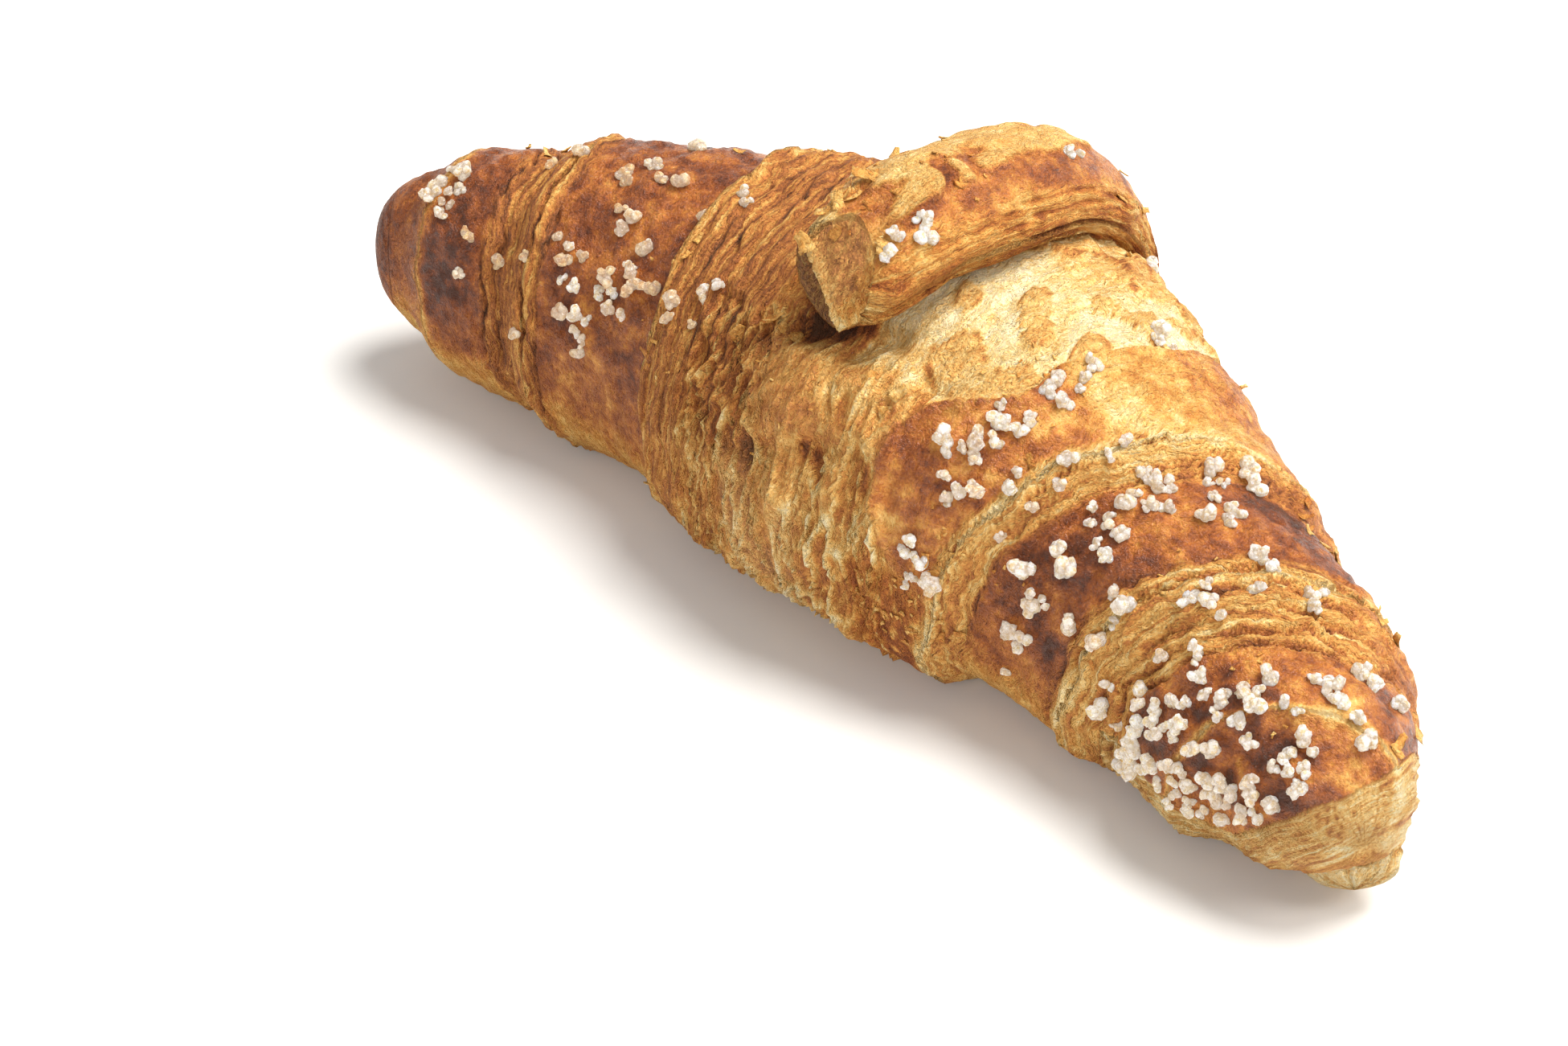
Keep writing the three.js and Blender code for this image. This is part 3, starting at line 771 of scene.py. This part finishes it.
# Joins the skins into one closed piece and mends the finish along the joins
def joinSkins(whole, *others):
    for other in others:
        join = whole.modifiers.new(other.name, "BOOLEAN")
        join.operation, join.solver, join.object = "UNION", "MANIFOLD", other
    evaluated = whole.evaluated_get(bpy.context.evaluated_depsgraph_get())
    mesh = bpy.data.meshes.new_from_object(evaluated)
    whole.modifiers.clear()
    whole.data = mesh
    for other in others:
        bpy.data.objects.remove(other)
    # points made by the join take the finish of the nearest point that was there before
    known = pointValues(mesh, "known")[:, 0] > 0.99
    tree = KDTree(int(known.sum()))
    for i in np.flatnonzero(known):
        tree.insert(mesh.vertices[i].co, int(i))
    tree.balance()
    joined = np.flatnonzero(~known)
    nearest = np.array([tree.find(mesh.vertices[i].co)[1] for i in joined], int)
    for name in finishNames + ("way",):
        values = pointValues(mesh, name)
        values[joined] = values[nearest]
        mesh.attributes.remove(mesh.attributes[name])
        setPoints(mesh, name, values if name == "way" else values[:, 0])
    mesh.attributes.remove(mesh.attributes["known"])
    dropFins(mesh)
    mesh.shade_smooth()
    return whole


# Gives a node's inputs, told by name or as n0 and so on, a value or what another node makes
def feed(tree, node, **inputs):
    for name, value in inputs.items():
        socket = node.inputs[int(name[1:]) if name[1:].isdigit() else name.replace("_", " ")]
        if isinstance(value, bpy.types.Node):
            value = value.outputs[0]
        if isinstance(value, bpy.types.NodeSocket):
            tree.links.new(value, socket)
        else:
            socket.default_value = value


# A new node: names in small letters are its settings, the others its inputs
def addNode(tree, kind, **values):
    node = tree.nodes.new(kind)
    for name, value in values.items():
        if name[0].isupper() or name[1:].isdigit():
            feed(tree, node, **{name: value})
        else:
            setattr(node, name, value)
    return node


def addUp(tree, first, second, clamp=False):
    return addNode(tree, "ShaderNodeMath", operation="ADD", use_clamp=clamp, n0=first, n1=second)


def multiply(tree, first, second, clamp=False):
    return addNode(tree, "ShaderNodeMath", operation="MULTIPLY", use_clamp=clamp, n0=first, n1=second)


def scaleShift(tree, value, factor, offset=0.0):
    return addNode(tree, "ShaderNodeMath", operation="MULTIPLY_ADD", n0=value, n1=factor, n2=offset)


def addNoise(tree, vector, scale, detail=2.0, roughness=0.5):
    return addNode(tree, "ShaderNodeTexNoise", Vector=vector, Scale=scale, Detail=detail, Roughness=roughness)


# The calls above, for one tree
def wiring(tree):
    return [partial(call, tree) for call in (addNode, addUp, multiply, scaleShift, addNoise)]


def mixColours(tree, share, first, second):
    return addNode(tree, "ShaderNodeMix", data_type="RGBA", n0=share, n6=first, n7=second).outputs[2]


def ramp(tree, value, stops):
    node = addNode(tree, "ShaderNodeValToRGB", Fac=value)
    elements = node.color_ramp.elements
    while len(elements) < len(stops):
        elements.new(0.5)
    for element, (place, colour) in zip(elements, stops):
        element.position = place
        element.color = light(colour)
    return node


# A colour in channels of 0 to 255, as light
def light(colour):
    shares = [channel / 255 for channel in colour]
    return (*[c / 12.92 if c <= 0.04045 else ((c + 0.055) / 1.055) ** 2.4 for c in shares], 1)


def newMaterial(name):
    material = bpy.data.materials.new(name)
    material.use_nodes = True
    tree = material.node_tree
    return material, tree, tree.nodes["Principled BSDF"]


crustColours = {
    # from barely baked to nearly burnt
    "bake": [
        (0.0, (252, 236, 194)), (0.18, (246, 216, 152)), (0.34, (232, 182, 102)), (0.48, (211, 146, 68)),
        (0.62, (183, 109, 46)), (0.76, (147, 78, 33)), (0.9, (108, 53, 24)), (1.0, (80, 40, 20)),
    ],
    # painted shade: the grey-brown mixed into the tongue's hollow end
    "ash": (96, 78, 58),
    "crumb": (224, 184, 130),
    "coat": 0.5,
    # sheets, fibres and threads: how closely they lie across and along, and their detail
    "streaks": [((1.5, 0.05, 0.05), 3.0), ((3.2, 0.22, 0.22), 3.0), ((7.5, 0.7, 0.7), 2.0)],
}


def bakedCrust():
    material, tree, shader = newMaterial("bakedCrust")
    add, plus, times, scaled, speckle = wiring(tree)
    place = add("ShaderNodeTexCoord").outputs["Object"]
    finish = [add("ShaderNodeAttribute", attribute_name=name) for name in finishNames + ("way",)]
    toast, glaze, layers, crumb, ash = (node.outputs["Fac"] for node in finish[:-1])
    # the layers run close together along the edges, and their direction wanders a little
    drift = times(scaled(speckle(place, 230, 3.0, 0.6), 4.4, -2.2), scaled(layers, -0.4, 1.0))
    sidestep = add("ShaderNodeCombineXYZ", X=drift)
    way = add("ShaderNodeVectorMath", operation="ADD", n0=finish[-1].outputs["Vector"], n1=sidestep)
    sheets, fibres, threads = (
        speckle(add("ShaderNodeMapping", Vector=way, Scale=closeness), 1.0, detail, 0.6)
        for closeness, detail in crustColours["streaks"]
    )
    patches, mottle = speckle(place, 190, 3.0, 0.55), speckle(place, 480, 3.0, 0.6)
    blots, pores = speckle(place, 1100, 2.0, 0.6), speckle(place, 3000, 2.0, 0.7)
    holes = add("ShaderNodeTexVoronoi", Vector=place, Scale=2300)

    # dull crust and layers are streaked, the glaze is clouded and speckled, the crumb is pitted
    lines = times(scaled(sheets, 1.1, -0.53), layers)
    streaks = plus(scaled(fibres, 0.7, -0.35), scaled(threads, 0.6, -0.3))
    streaks = times(streaks, scaled(scaled(glaze, -1.0, 1.0), 0.7, 0.05))
    streaks = times(streaks, scaled(crumb, -0.4, 1.0))
    shiny = plus(scaled(patches, 0.85, -0.43), scaled(mottle, 0.4, -0.2))
    shiny = times(plus(shiny, scaled(blots, 0.24, -0.12)), glaze)
    spots = plus(scaled(mottle, 0.36, -0.18), scaled(pores, 0.3, -0.15))
    pits = times(scaled(holes, -0.5, 0.2), crumb)
    level = toast
    for part in (lines, streaks, shiny, spots, pits):
        level = plus(level, part)
    colour = ramp(tree, level, crustColours["bake"])
    colour = mixColours(tree, scaled(crumb, 0.42), colour, light(crustColours["crumb"]))
    # a shaded copy of the crust colour, for painted shade in the tongue's hollow end
    shadedColour = mixColours(tree, 0.6, colour, light(crustColours["ash"]))

    # the fibres stand out, then the pores and the crumb's holes
    grain = plus(plus(fibres, threads), times(sheets, scaled(layers, 1.6)))
    fine = times(grain, scaled(glaze, -0.7, 1.0))
    relief = add("ShaderNodeBump", Strength=0.9, Distance=0.0007, Height=fine)
    rough = plus(plus(mottle, blots), plus(pores, pits))
    relief = add("ShaderNodeBump", Strength=0.65, Distance=0.0006, Height=rough, Normal=relief)
    feed(
        tree, shader, Base_Color=mixColours(tree, ash, colour, shadedColour), Specular_IOR_Level=0.2,
        Roughness=plus(scaled(glaze, -0.36, 0.74), scaled(blots, 0.3, -0.15), clamp=True),
        Coat_Weight=times(scaled(blots, 3.2, -0.7), scaled(glaze, crustColours["coat"]), clamp=True),
        Coat_Roughness=0.1, Subsurface_Weight=0.06, Subsurface_Radius=(0.003, 0.0014, 0.0006),
        Normal=relief, Coat_Normal=relief,
    )
    return material


sugarColours = {
    # from the denser to the clearer parts of a crystal, bare and coated by the glaze
    "white": [(0.38, (232, 202, 150)), (0.52, (255, 253, 242))],
    "glazed": [(0.3, (180, 106, 46)), (0.62, (230, 180, 122))],
    "paintedGlow": (1.0, 0.86, 0.66, 1),  # painted glow: emission that stands in for light caught inside the crystals
    "paintedGlowStrength": 0.15,
}


def sugarGlass():
    material, tree, shader = newMaterial("pearlSugar")
    add, _, _, scaled, speckle = wiring(tree)
    place = add("ShaderNodeTexCoord").outputs["Object"]
    amber = add("ShaderNodeAttribute", attribute_name="amber").outputs["Fac"]
    cloud = speckle(place, 1300, 3.0, 0.6)
    white, glazed = (ramp(tree, cloud, sugarColours[name]) for name in ("white", "glazed"))
    facets = add("ShaderNodeTexVoronoi", Vector=place, Scale=2400)
    feed(
        tree, shader, Base_Color=mixColours(tree, amber, white, glazed), Roughness=0.16, IOR=1.45,
        Subsurface_Weight=0.85, Subsurface_Radius=(0.003, 0.0026, 0.0018), Subsurface_Scale=1.0,
        Transmission_Weight=scaled(cloud, -0.9, 0.7),
        # painted glow: the crystals emit a little light, standing in for light scattered inside them
        Emission_Color=sugarColours["paintedGlow"], Emission_Strength=sugarColours["paintedGlowStrength"],
        Normal=add("ShaderNodeBump", Strength=0.9, Distance=0.0004, Height=facets),
    )
    return material


studio = {
    "turn": 38.63,  # of the camera round the croissant, from the front towards the right
    "height": 40.0,  # degrees above the floor
    "distance": 0.430,
    "target": (-0.00268, -0.02780, 0.018),
    "lens": 79.59,  # for a sensor 36 mm wide
    "floorTone": (245, 244, 241),
    "floorSize": 4.0,
    # place in metres, size, watts and colour of each soft light
    "lights": {
        "key": ((0.25, 0.36, 1.06), 0.8, 20, (1.0, 0.985, 0.96)),
        "side": ((0.8, 0.2, 0.8), 0.4, 4, (1.0, 0.98, 0.95)),
        "fill": ((0.35, -1.0, 0.6), 0.9, 3.6, (1.0, 0.995, 0.98)),
    },
    "sky": 0.42,  # strength of the even light from all round
}


def aim(thing, target):
    thing.rotation_euler = (Vector(target) - thing.location).to_track_quat("-Z", "Y").to_euler()


def setCamera():
    turn, height = math.radians(studio["turn"]), math.radians(studio["height"])
    back = Vector((math.sin(turn) * math.cos(height), -math.cos(turn) * math.cos(height), math.sin(height)))
    lens = bpy.data.cameras.new("camera")
    lens.lens, lens.sensor_width, lens.clip_start = studio["lens"], 36, 0.01
    camera = bpy.data.objects.new("camera", lens)
    camera.location = Vector(studio["target"]) + back * studio["distance"]
    aim(camera, studio["target"])
    bpy.context.scene.collection.objects.link(camera)
    bpy.context.scene.camera = camera


def setFloor():
    material, tree, shader = newMaterial("paleFloor")
    tone = studio["floorTone"]
    paper = addNoise(tree, addNode(tree, "ShaderNodeTexCoord").outputs["Object"], 60, 3.0)
    colour = ramp(tree, paper, [(0.3, [channel - 3 for channel in tone]), (0.7, tone)])
    feed(tree, shader, Base_Color=colour, Roughness=0.6, Specular_IOR_Level=0.1,
         Emission_Color=(1, 1, 1, 1), Emission_Strength=0.02)
    half = studio["floorSize"] / 2
    mesh = bpy.data.meshes.new("floor")
    corners = [(-half, -half, 0), (half, -half, 0), (half, half, 0), (-half, half, 0)]
    mesh.from_pydata(corners, [], [(0, 1, 2, 3)])
    mesh.materials.append(material)
    floor = bpy.data.objects.new("floor", mesh)
    bpy.context.scene.collection.objects.link(floor)
    floor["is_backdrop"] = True


def setLights():
    for name, (place, size, power, colour) in studio["lights"].items():
        lamp = bpy.data.lights.new(name, "AREA")
        lamp.shape, lamp.size, lamp.energy, lamp.color = "DISK", size, power, colour
        holder = bpy.data.objects.new(name, lamp)
        holder.location = place
        aim(holder, (0, 0, 0.02))
        bpy.context.scene.collection.objects.link(holder)
    world = bpy.data.worlds.new("studio")
    world.use_nodes = True
    feed(world.node_tree, world.node_tree.nodes["Background"], Color=(1, 1, 1, 1), Strength=studio["sky"])
    bpy.context.scene.world = world
    bpy.context.scene.view_settings.view_transform = "Standard"


setCamera()
setFloor()
setLights()
print("studio set")

croissant = joinSkins(rollSkin(), tongueSkin(), tailSkin())
croissant.name = "croissant_crust"
croissant.data.materials.clear()
croissant.data.materials.append(bakedCrust())
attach(croissant, "root")
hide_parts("croissant")
print("dough shaped:", len(croissant.data.polygons), "faces")

# Pearl sugar: where the grains lie, and how they are grown from lobes
sugar = {
    # distance along, angle, spread in mm, grains, share coated by the glaze
    "clumps": [
        (20, 135, 2, 1, 0.2), (24, 123, 3, 3, 0.4), (26, 121, 2, 1, 0.3), (25, 104, 3, 3, 0.3),
        (26, 98, 2, 2, 0.3), (24, 143, 2, 2, 0.6), (27, 141, 1, 1, 0.5), (24, 132, 2, 2, 0.5),
        (30, 133, 3, 2, 0.5), (32, 122, 2, 2, 0.4), (34, 104, 2, 2, 0.4), (22, 164, 2, 3, 0.2),
        (24, 174, 2, 2, 0.3), (30, 149, 1, 1, 0.6), (24, 66, 2, 2, 0.2), (42, 131, 2, 1, 0.3),
        (47, 141, 3, 2, 0.5), (41, 108, 3, 3, 0.4), (46, 88, 3, 3, 0.3), (40, 99, 2, 3, 0.3),
        (43, 82, 3, 3, 0.3), (44, 68, 2, 1, 0.3), (53, 86, 1, 1, 0.2), (45, 157, 3, 3, 0.4),
        (39, 126, 2, 3, 0.4), (39, 143, 2, 2, 0.3), (35, 151, 1, 1, 0.3), (38, 161, 2, 3, 0.2),
        (36, 173, 2, 2, 0.3), (34, 192, 2, 1, 0.3), (53, 163, 3, 2, 0.3), (51, 178, 2, 2, 0.3),
        (58, 130, 2, 1, 0.2), (55, 114, 2, 3, 0.3), (58, 90, 3, 2, 0.2), (59, 77, 2, 2, 0.3),
        (61, 152, 3, 4, 0.1), (61, 162, 2, 4, 0.1), (57, 173, 2, 3, 0.0), (57, 183, 2, 3, 0.1),
        (54, 200, 1, 1, 0.1), (62, 174, 3, 3, 0.2), (65, 171, 2, 3, 0.2), (66, 178, 2, 2, 0.2),
        (69, 168, 2, 2, 0.3), (71, 156, 1, 1, 0.4), (66, 154, 2, 1, 0.3), (68, 138, 2, 3, 0.3),
        (64, 183, 2, 3, 0.1), (66, 192, 1, 1, 0.1), (69, 184, 2, 3, 0.1), (72, 172, 2, 2, 0.4),
        (74, 162, 2, 1, 0.3), (74, 138, 2, 3, 0.2), (75, 129, 2, 2, 0.1), (73, 112, 2, 2, 0.1),
        (74, 84, 2, 2, 0.1), (71, 51, 2, 1, 0.1), (70, 92, 2, 3, 0.1), (68, 111, 2, 3, 0.2),
        (67, 122, 2, 2, 0.2), (62, 132, 3, 2, 0.3), (68, 66, 3, 2, 0.1), (-72, 99, 2, 2, 0.7),
        (-75, 112, 3, 2, 0.5), (-74, 123, 2, 3, 0.6), (-70, 138, 2, 1, 0.9), (-71, 153, 2, 1, 0.9),
        (-63, 142, 1, 1, 0.9), (-58, 138, 1, 1, 0.8), (-60, 168, 1, 1, 0.9), (-52, 131, 3, 3, 0.8),
        (-51, 144, 2, 2, 0.1), (-48, 153, 3, 3, 0.2), (-48, 163, 2, 2, 0.5), (-40, 150, 1, 1, 0.5),
        (-45, 137, 1, 1, 0.6), (-45, 144, 2, 2, 0.1), (-39, 135, 3, 2, 0.8), (-43, 118, 4, 3, 0.9),
        (-49, 99, 3, 2, 0.9), (-60, 93, 4, 2, 0.8), (-44, 91, 4, 3, 0.8), (-44, 72, 2, 1, 0.6),
        (-31, 139, 2, 2, 0.8), (-27, 139, 2, 1, 0.8), (-25, 126, 2, 2, 0.6), (-34, 112, 2, 1, 0.7),
        (6, 104, 1, 1, 0.1), (4, 109, 1, 1, 0.1), (-28, 92, 4, 2, 0.4), (3, 69, 3, 2, 0.2),
        (10, 37, 3, 2, 0.2),
    ],
    "radius": (0.8, 1.65),
    "sunk": 0.36,  # of its radius
    "apart": 0.75,  # of two grains' radii together
    "tries": 20,  # to find room for a grain
    "around": 2.6,  # degrees round the roll for one mm
    "lobes": (8, 5),  # of a large and of a small grain
    "stretch": ((0.75, 0.75, 0.7), (1.3, 1.2, 1.15)),  # of a lobe, least and most
    "subdivisions": 2,  # of a lobe's ball
    "lumps": {
        "pearl_sugar": {"Lump Size": 0.0009, "Lump Height": 0.0005},
        "pearl_sugar_small": {"Lump Size": 0.0007, "Lump Height": 0.0004},
    },
    "seed": 5,
}


def surfaceHit(skin, distance, degrees):
    outside = setDown(crustPoint(distance, degrees, 40.0)[0])
    inside = setDown(crustPoint(distance, degrees, -6.0)[0])
    way = Vector(inside - outside).normalized()
    place, normal, _, _ = skin.ray_cast(Vector(outside), way)
    return place, normal


def besides(normal, random):
    side = Vector(random.normal(size=3))
    side = (side - normal * side.dot(normal)).normalized()
    return side, normal.cross(side)


# One grain is a handful of lobes, strung out a little to one side
def lobesOf(centre, normal, radius, amber, count, random):
    side, across = besides(normal, random)
    lobes = []
    for _ in range(count):
        u, v, w = random.uniform(-1, 1, 3)
        place = centre + (side * 0.6 * u + across * 0.42 * v + normal * 0.32 * w) * radius
        size = radius * random.uniform(0.42, 0.6)
        lobes.append((place, size, min(max(amber + random.uniform(-0.15, 0.15), 0), 1)))
    return lobes


# A random place on the crust, within a spread in mm and so many degrees round the roll for each mm
def randomHit(skin, distance, degrees, spread, around, random):
    away, turn = spread * math.sqrt(random.random()), random.uniform(0, 2 * math.pi)
    return surfaceHit(skin, distance + away * math.cos(turn), degrees + away * math.sin(turn) * around)


# The lobes of the large grains, which stand for the solids, and of the small ones
def grainPlaces(skin):
    random = np.random.default_rng(sugar["seed"])
    large, small, taken = [], [], []
    outwards = 1 - 2 * sugar["sunk"]
    nodes = sorted(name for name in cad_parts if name.startswith("pearl_sugar"))
    for name in nodes:
        low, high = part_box(name)
        middle, radius = (low + high) / 2, max(high - low) / 2
        place, normal, _, _ = skin.find_nearest(middle)
        centre = place + normal * radius * outwards
        # more of them are coated by the glaze on the left
        amber = (0.35 + 0.5 * random.random()) if middle[0] < -0.012 else 0.35 * random.random()
        taken.append((centre, radius))
        large += lobesOf(centre, normal, radius, amber, sugar["lobes"][0], random)
    for distance, degrees, spread, count, glazed in sugar["clumps"]:
        for _ in range(count):
            for _ in range(sugar["tries"]):
                place, normal = randomHit(skin, distance, degrees, spread, sugar["around"], random)
                radius = random.uniform(*sugar["radius"]) * metre
                if place is None:
                    continue
                centre = place + normal * radius * outwards
                if all((centre - other).length > sugar["apart"] * (radius + size) for other, size in taken):
                    taken.append((centre, radius))
                    amber = min(glazed * (0.7 + 0.6 * random.random()), 1)
                    small += lobesOf(centre, normal, radius, amber, sugar["lobes"][1], random)
                    break
    return nodes, large, small


# Starts a Geometry Nodes tree: the tree, its input node, and the sockets of its named sizes
def startTree(name, *sizes):
    tree = bpy.data.node_groups.new(name, "GeometryNodeTree")
    face = tree.interface
    face.new_socket("Geometry", in_out="INPUT", socket_type="NodeSocketGeometry")
    sockets = {size: face.new_socket(size, in_out="INPUT", socket_type="NodeSocketFloat") for size in sizes}
    face.new_socket("Geometry", in_out="OUTPUT", socket_type="NodeSocketGeometry")
    return tree, addNode(tree, "NodeGroupInput"), sockets


# Ends a tree with one plain mesh in its material
def endTree(tree, geometry, material):
    whole = addNode(tree, "GeometryNodeRealizeInstances", Geometry=geometry)
    finish = addNode(tree, "GeometryNodeSetMaterial", Geometry=whole, Material=material)
    feed(tree, addNode(tree, "NodeGroupOutput"), n0=finish)


# Lobes on points, each stretched, turned and roughened by noise at its own place
def grainTree(name, material, seed):
    tree, start, sockets = startTree(name, "Lump Size", "Lump Height")
    add, _, times, scaled, _ = wiring(tree)
    vector = {"data_type": "FLOAT_VECTOR"}
    ball = add("GeometryNodeMeshIcoSphere", Radius=1.0, Subdivisions=sugar["subdivisions"])
    radius = add("GeometryNodeInputNamedAttribute", data_type="FLOAT", Name="radius")
    low, high = sugar["stretch"]
    stretch = add("FunctionNodeRandomValue", **vector, n0=low, n1=high, Seed=seed)
    scale = add("ShaderNodeVectorMath", operation="SCALE", n0=stretch, Scale=radius)
    turn = add("FunctionNodeRandomValue", **vector, n0=(0.0,) * 3, n1=(6.28,) * 3, Seed=seed + 1)
    spread = add("GeometryNodeInstanceOnPoints", Points=start, Instance=ball, Rotation=turn, Scale=scale)
    solid = add("GeometryNodeRealizeInstances", Geometry=spread)
    perLump = add("ShaderNodeMath", operation="DIVIDE", n0=1.0, n1=start.outputs["Lump Size"])
    lumps = add("ShaderNodeTexNoise", Vector=add("GeometryNodeInputPosition"), Scale=perLump, Detail=1.0)
    rise = times(scaled(lumps, 2.0, -1.0), start.outputs["Lump Height"])
    offset = add("ShaderNodeVectorMath", operation="SCALE", n0=add("GeometryNodeInputNormal"), Scale=rise)
    endTree(tree, add("GeometryNodeSetPosition", Geometry=solid, Offset=offset), material)
    return tree, sockets


# Points for a tree to read, each row its place and then a value for each name
def pointCloud(name, rows, names):
    mesh = bpy.data.meshes.new(name)
    mesh.from_pydata([row[0] for row in rows], [], [])
    for i, column in enumerate(names):
        setPoints(mesh, column, [row[i + 1] for row in rows])
    cloud = bpy.data.objects.new(name, mesh)
    bpy.context.scene.collection.objects.link(cloud)
    return cloud


# Runs a tree on a piece and leaves the plain mesh that it makes
def growMesh(piece, tree, sockets, sizes):
    modifier = piece.modifiers.new(tree.name, "NODES")
    modifier.node_group = tree
    for name, value in sizes.items():
        modifier[sockets[name].identifier] = value
    evaluated = piece.evaluated_get(bpy.context.evaluated_depsgraph_get())
    mesh = bpy.data.meshes.new_from_object(evaluated)
    piece.modifiers.clear()
    piece.data = mesh
    return piece


def scatterSugar(skin):
    nodes, large, small = grainPlaces(skin)
    material = sugarGlass()
    grown = []
    for name, lobes in (("pearl_sugar", large), ("pearl_sugar_small", small)):
        cloud = pointCloud(name, lobes, ("radius", "amber"))
        tree, sockets = grainTree(name, material, seed=len(grown) + 3)
        grown.append(growMesh(cloud, tree, sockets, sugar["lumps"][name]))
    for piece in grown:
        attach(piece, "root")
    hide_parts(*nodes)
    return grown


skin = BVHTree.FromObject(croissant, bpy.context.evaluated_depsgraph_get())
grains = scatterSugar(skin)
print("sugar scattered:", [len(piece.data.polygons) for piece in grains], "faces")

# Loose and half-loose flakes of crust
flakes = {
    # distance along, angle, spread in mm, flakes, length in mm, how far they stand up in degrees
    "places": [
        (-5, 112, 3, 5, 2.6, 25), (-5, 103, 3, 5, 2.8, 25), (-5, 93, 3, 3, 2.0, 15),
        (-6, 84, 2, 2, 1.8, 10), (2, 108, 3, 3, 2.0, 20), (2, 96, 4, 3, 1.8, 20), (-17, 134, 1, 1, 8, 30),
        (-14, 129, 2, 1, 4.5, 20), (-9, 128, 3, 2, 3, 20), (10, 133, 4, 3, 2.4, 12),
        (77, 60, 2, 2, 2.6, 20), (74, 25, 3, 1, 3, 20), (49, 48, 5, 7, 2.2, 30), (62, 40, 6, 5, 1.8, 30),
        (25, 40, 5, 4, 2.0, 20), (8, 45, 5, 4, 2.0, 20), (-35, 60, 8, 4, 1.8, 15),
        (-62, 70, 6, 3, 1.6, 15), (-32, 120, 3, 3, 1.3, 20), (-33, 150, 3, 3, 1.3, 20),
        (-30, 215, 5, 4, 1.8, 25), (31, 128, 3, 2, 1.8, 30), (27, 165, 3, 3, 2.2, 25),
        (27, 185, 3, 3, 2.2, 25), (49, 165, 2, 2, 1.4, 20),
    ],
    # the same for crumbs
    "crumbs": [
        (18, 186, 6, 26, 0.8, 20), (22, 172, 4, 12, 0.7, 20), (24, 110, 7, 14, 0.7, 20),
        (30, 150, 8, 14, 0.7, 20), (0, 100, 8, 14, 0.8, 20), (-5, 150, 10, 12, 0.7, 20),
        (-35, 140, 12, 12, 0.7, 20), (60, 120, 14, 16, 0.7, 20),
    ],
    "around": 1.8,  # degrees round the roll for one mm
    "width": 0.6,  # of its length
    "thickness": 0.11,
    "toast": (0.3, 0.58),  # least and most
    "glaze": 0.3,
    "bends": {"Curl": 0.35, "Waviness": 0.4},
    "seed": 9,
}


def flakePlaces(skin):
    random = np.random.default_rng(flakes["seed"])
    palest, darkest = flakes["toast"]
    rows = []
    for distance, degrees, spread, count, length, standing in flakes["places"] + flakes["crumbs"]:
        for _ in range(count):
            place, normal = randomHit(skin, distance, degrees, spread, flakes["around"], random)
            if place is None:
                continue
            side, _ = besides(normal, random)
            lean = math.radians(standing) * random.uniform(0.3, 1)
            along = side * math.cos(lean) + normal * math.sin(lean)
            stand = normal * math.cos(lean) - side * math.sin(lean)
            turned = Matrix((along, stand.cross(along), stand)).transposed().to_euler()
            size = length * random.uniform(0.6, 1.1) * metre
            width = size * flakes["width"] * random.uniform(0.7, 1.4)
            thick = flakes["thickness"] * metre * random.uniform(0.8, 1.4)
            middle = place + along * size * 0.32 + normal * 0.1 * metre
            toast = palest + (darkest - palest) * random.random()
            rows.append((middle, (size, width, thick), tuple(turned), toast, flakes["glaze"]))
    return rows


# Thin slabs on points, narrower towards the free end, curled up along their length and bent by noise
def flakeTree(name, material):
    tree, start, sockets = startTree(name, "Curl", "Waviness")
    add, _, times, scaled, _ = wiring(tree)
    vector = {"data_type": "FLOAT_VECTOR"}
    slab = add("GeometryNodeMeshCube", Size=(1.0, 1.0, 1.0), Vertices_X=7, Vertices_Y=4, Vertices_Z=2)
    spot = add("GeometryNodeInputPosition")
    parts = add("ShaderNodeSeparateXYZ", Vector=spot)
    taper = times(scaled(parts, -0.5, -0.2), parts.outputs[1])
    shaped = add("GeometryNodeSetPosition", Geometry=slab, Offset=add("ShaderNodeCombineXYZ", Y=taper))
    size, turn, own = (
        add("GeometryNodeInputNamedAttribute", **vector, Name=name) for name in ("size", "turn", "spot")
    )
    keep = add("GeometryNodeStoreNamedAttribute", **vector, domain="POINT", Geometry=shaped,
               Name="spot", Value=spot)
    spread = add("GeometryNodeInstanceOnPoints", Points=start, Instance=keep, Rotation=turn, Scale=size)
    solid = add("GeometryNodeRealizeInstances", Geometry=spread)
    ownX, long = (add("ShaderNodeSeparateXYZ", Vector=node) for node in (own, size))
    bow = times(times(ownX, ownX), start.outputs["Curl"])
    lift = add("ShaderNodeCombineXYZ", Z=times(bow, long))
    upright = add("FunctionNodeRotateVector", Vector=lift, Rotation=turn)
    place = add("GeometryNodeInputPosition")
    wander = add("ShaderNodeTexNoise", Vector=place, Scale=700.0, Detail=1.0)
    wave = add("ShaderNodeVectorMath", operation="SUBTRACT", n0=wander.outputs["Color"], n1=(0.5, 0.5, 0.5))
    amount = times(start.outputs["Waviness"], long)
    wave = add("ShaderNodeVectorMath", operation="SCALE", n0=wave, Scale=amount)
    offset = add("ShaderNodeVectorMath", operation="ADD", n0=upright, n1=wave)
    endTree(tree, add("GeometryNodeSetPosition", Geometry=solid, Offset=offset), material)
    return tree, sockets


cloud = pointCloud("crust_flakes", flakePlaces(skin), ("size", "turn", "toast", "glaze"))
loose = growMesh(cloud, *flakeTree("crust_flakes", croissant.data.materials[0]), flakes["bends"])
loose.data.shade_smooth()
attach(loose, "root")
print("flakes laid:", len(loose.data.polygons), "faces")

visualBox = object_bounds()
boxes = {"cad": cadBox, "visual": visualBox}
{name: [list(corner) for corner in box] for name, box in boxes.items()}
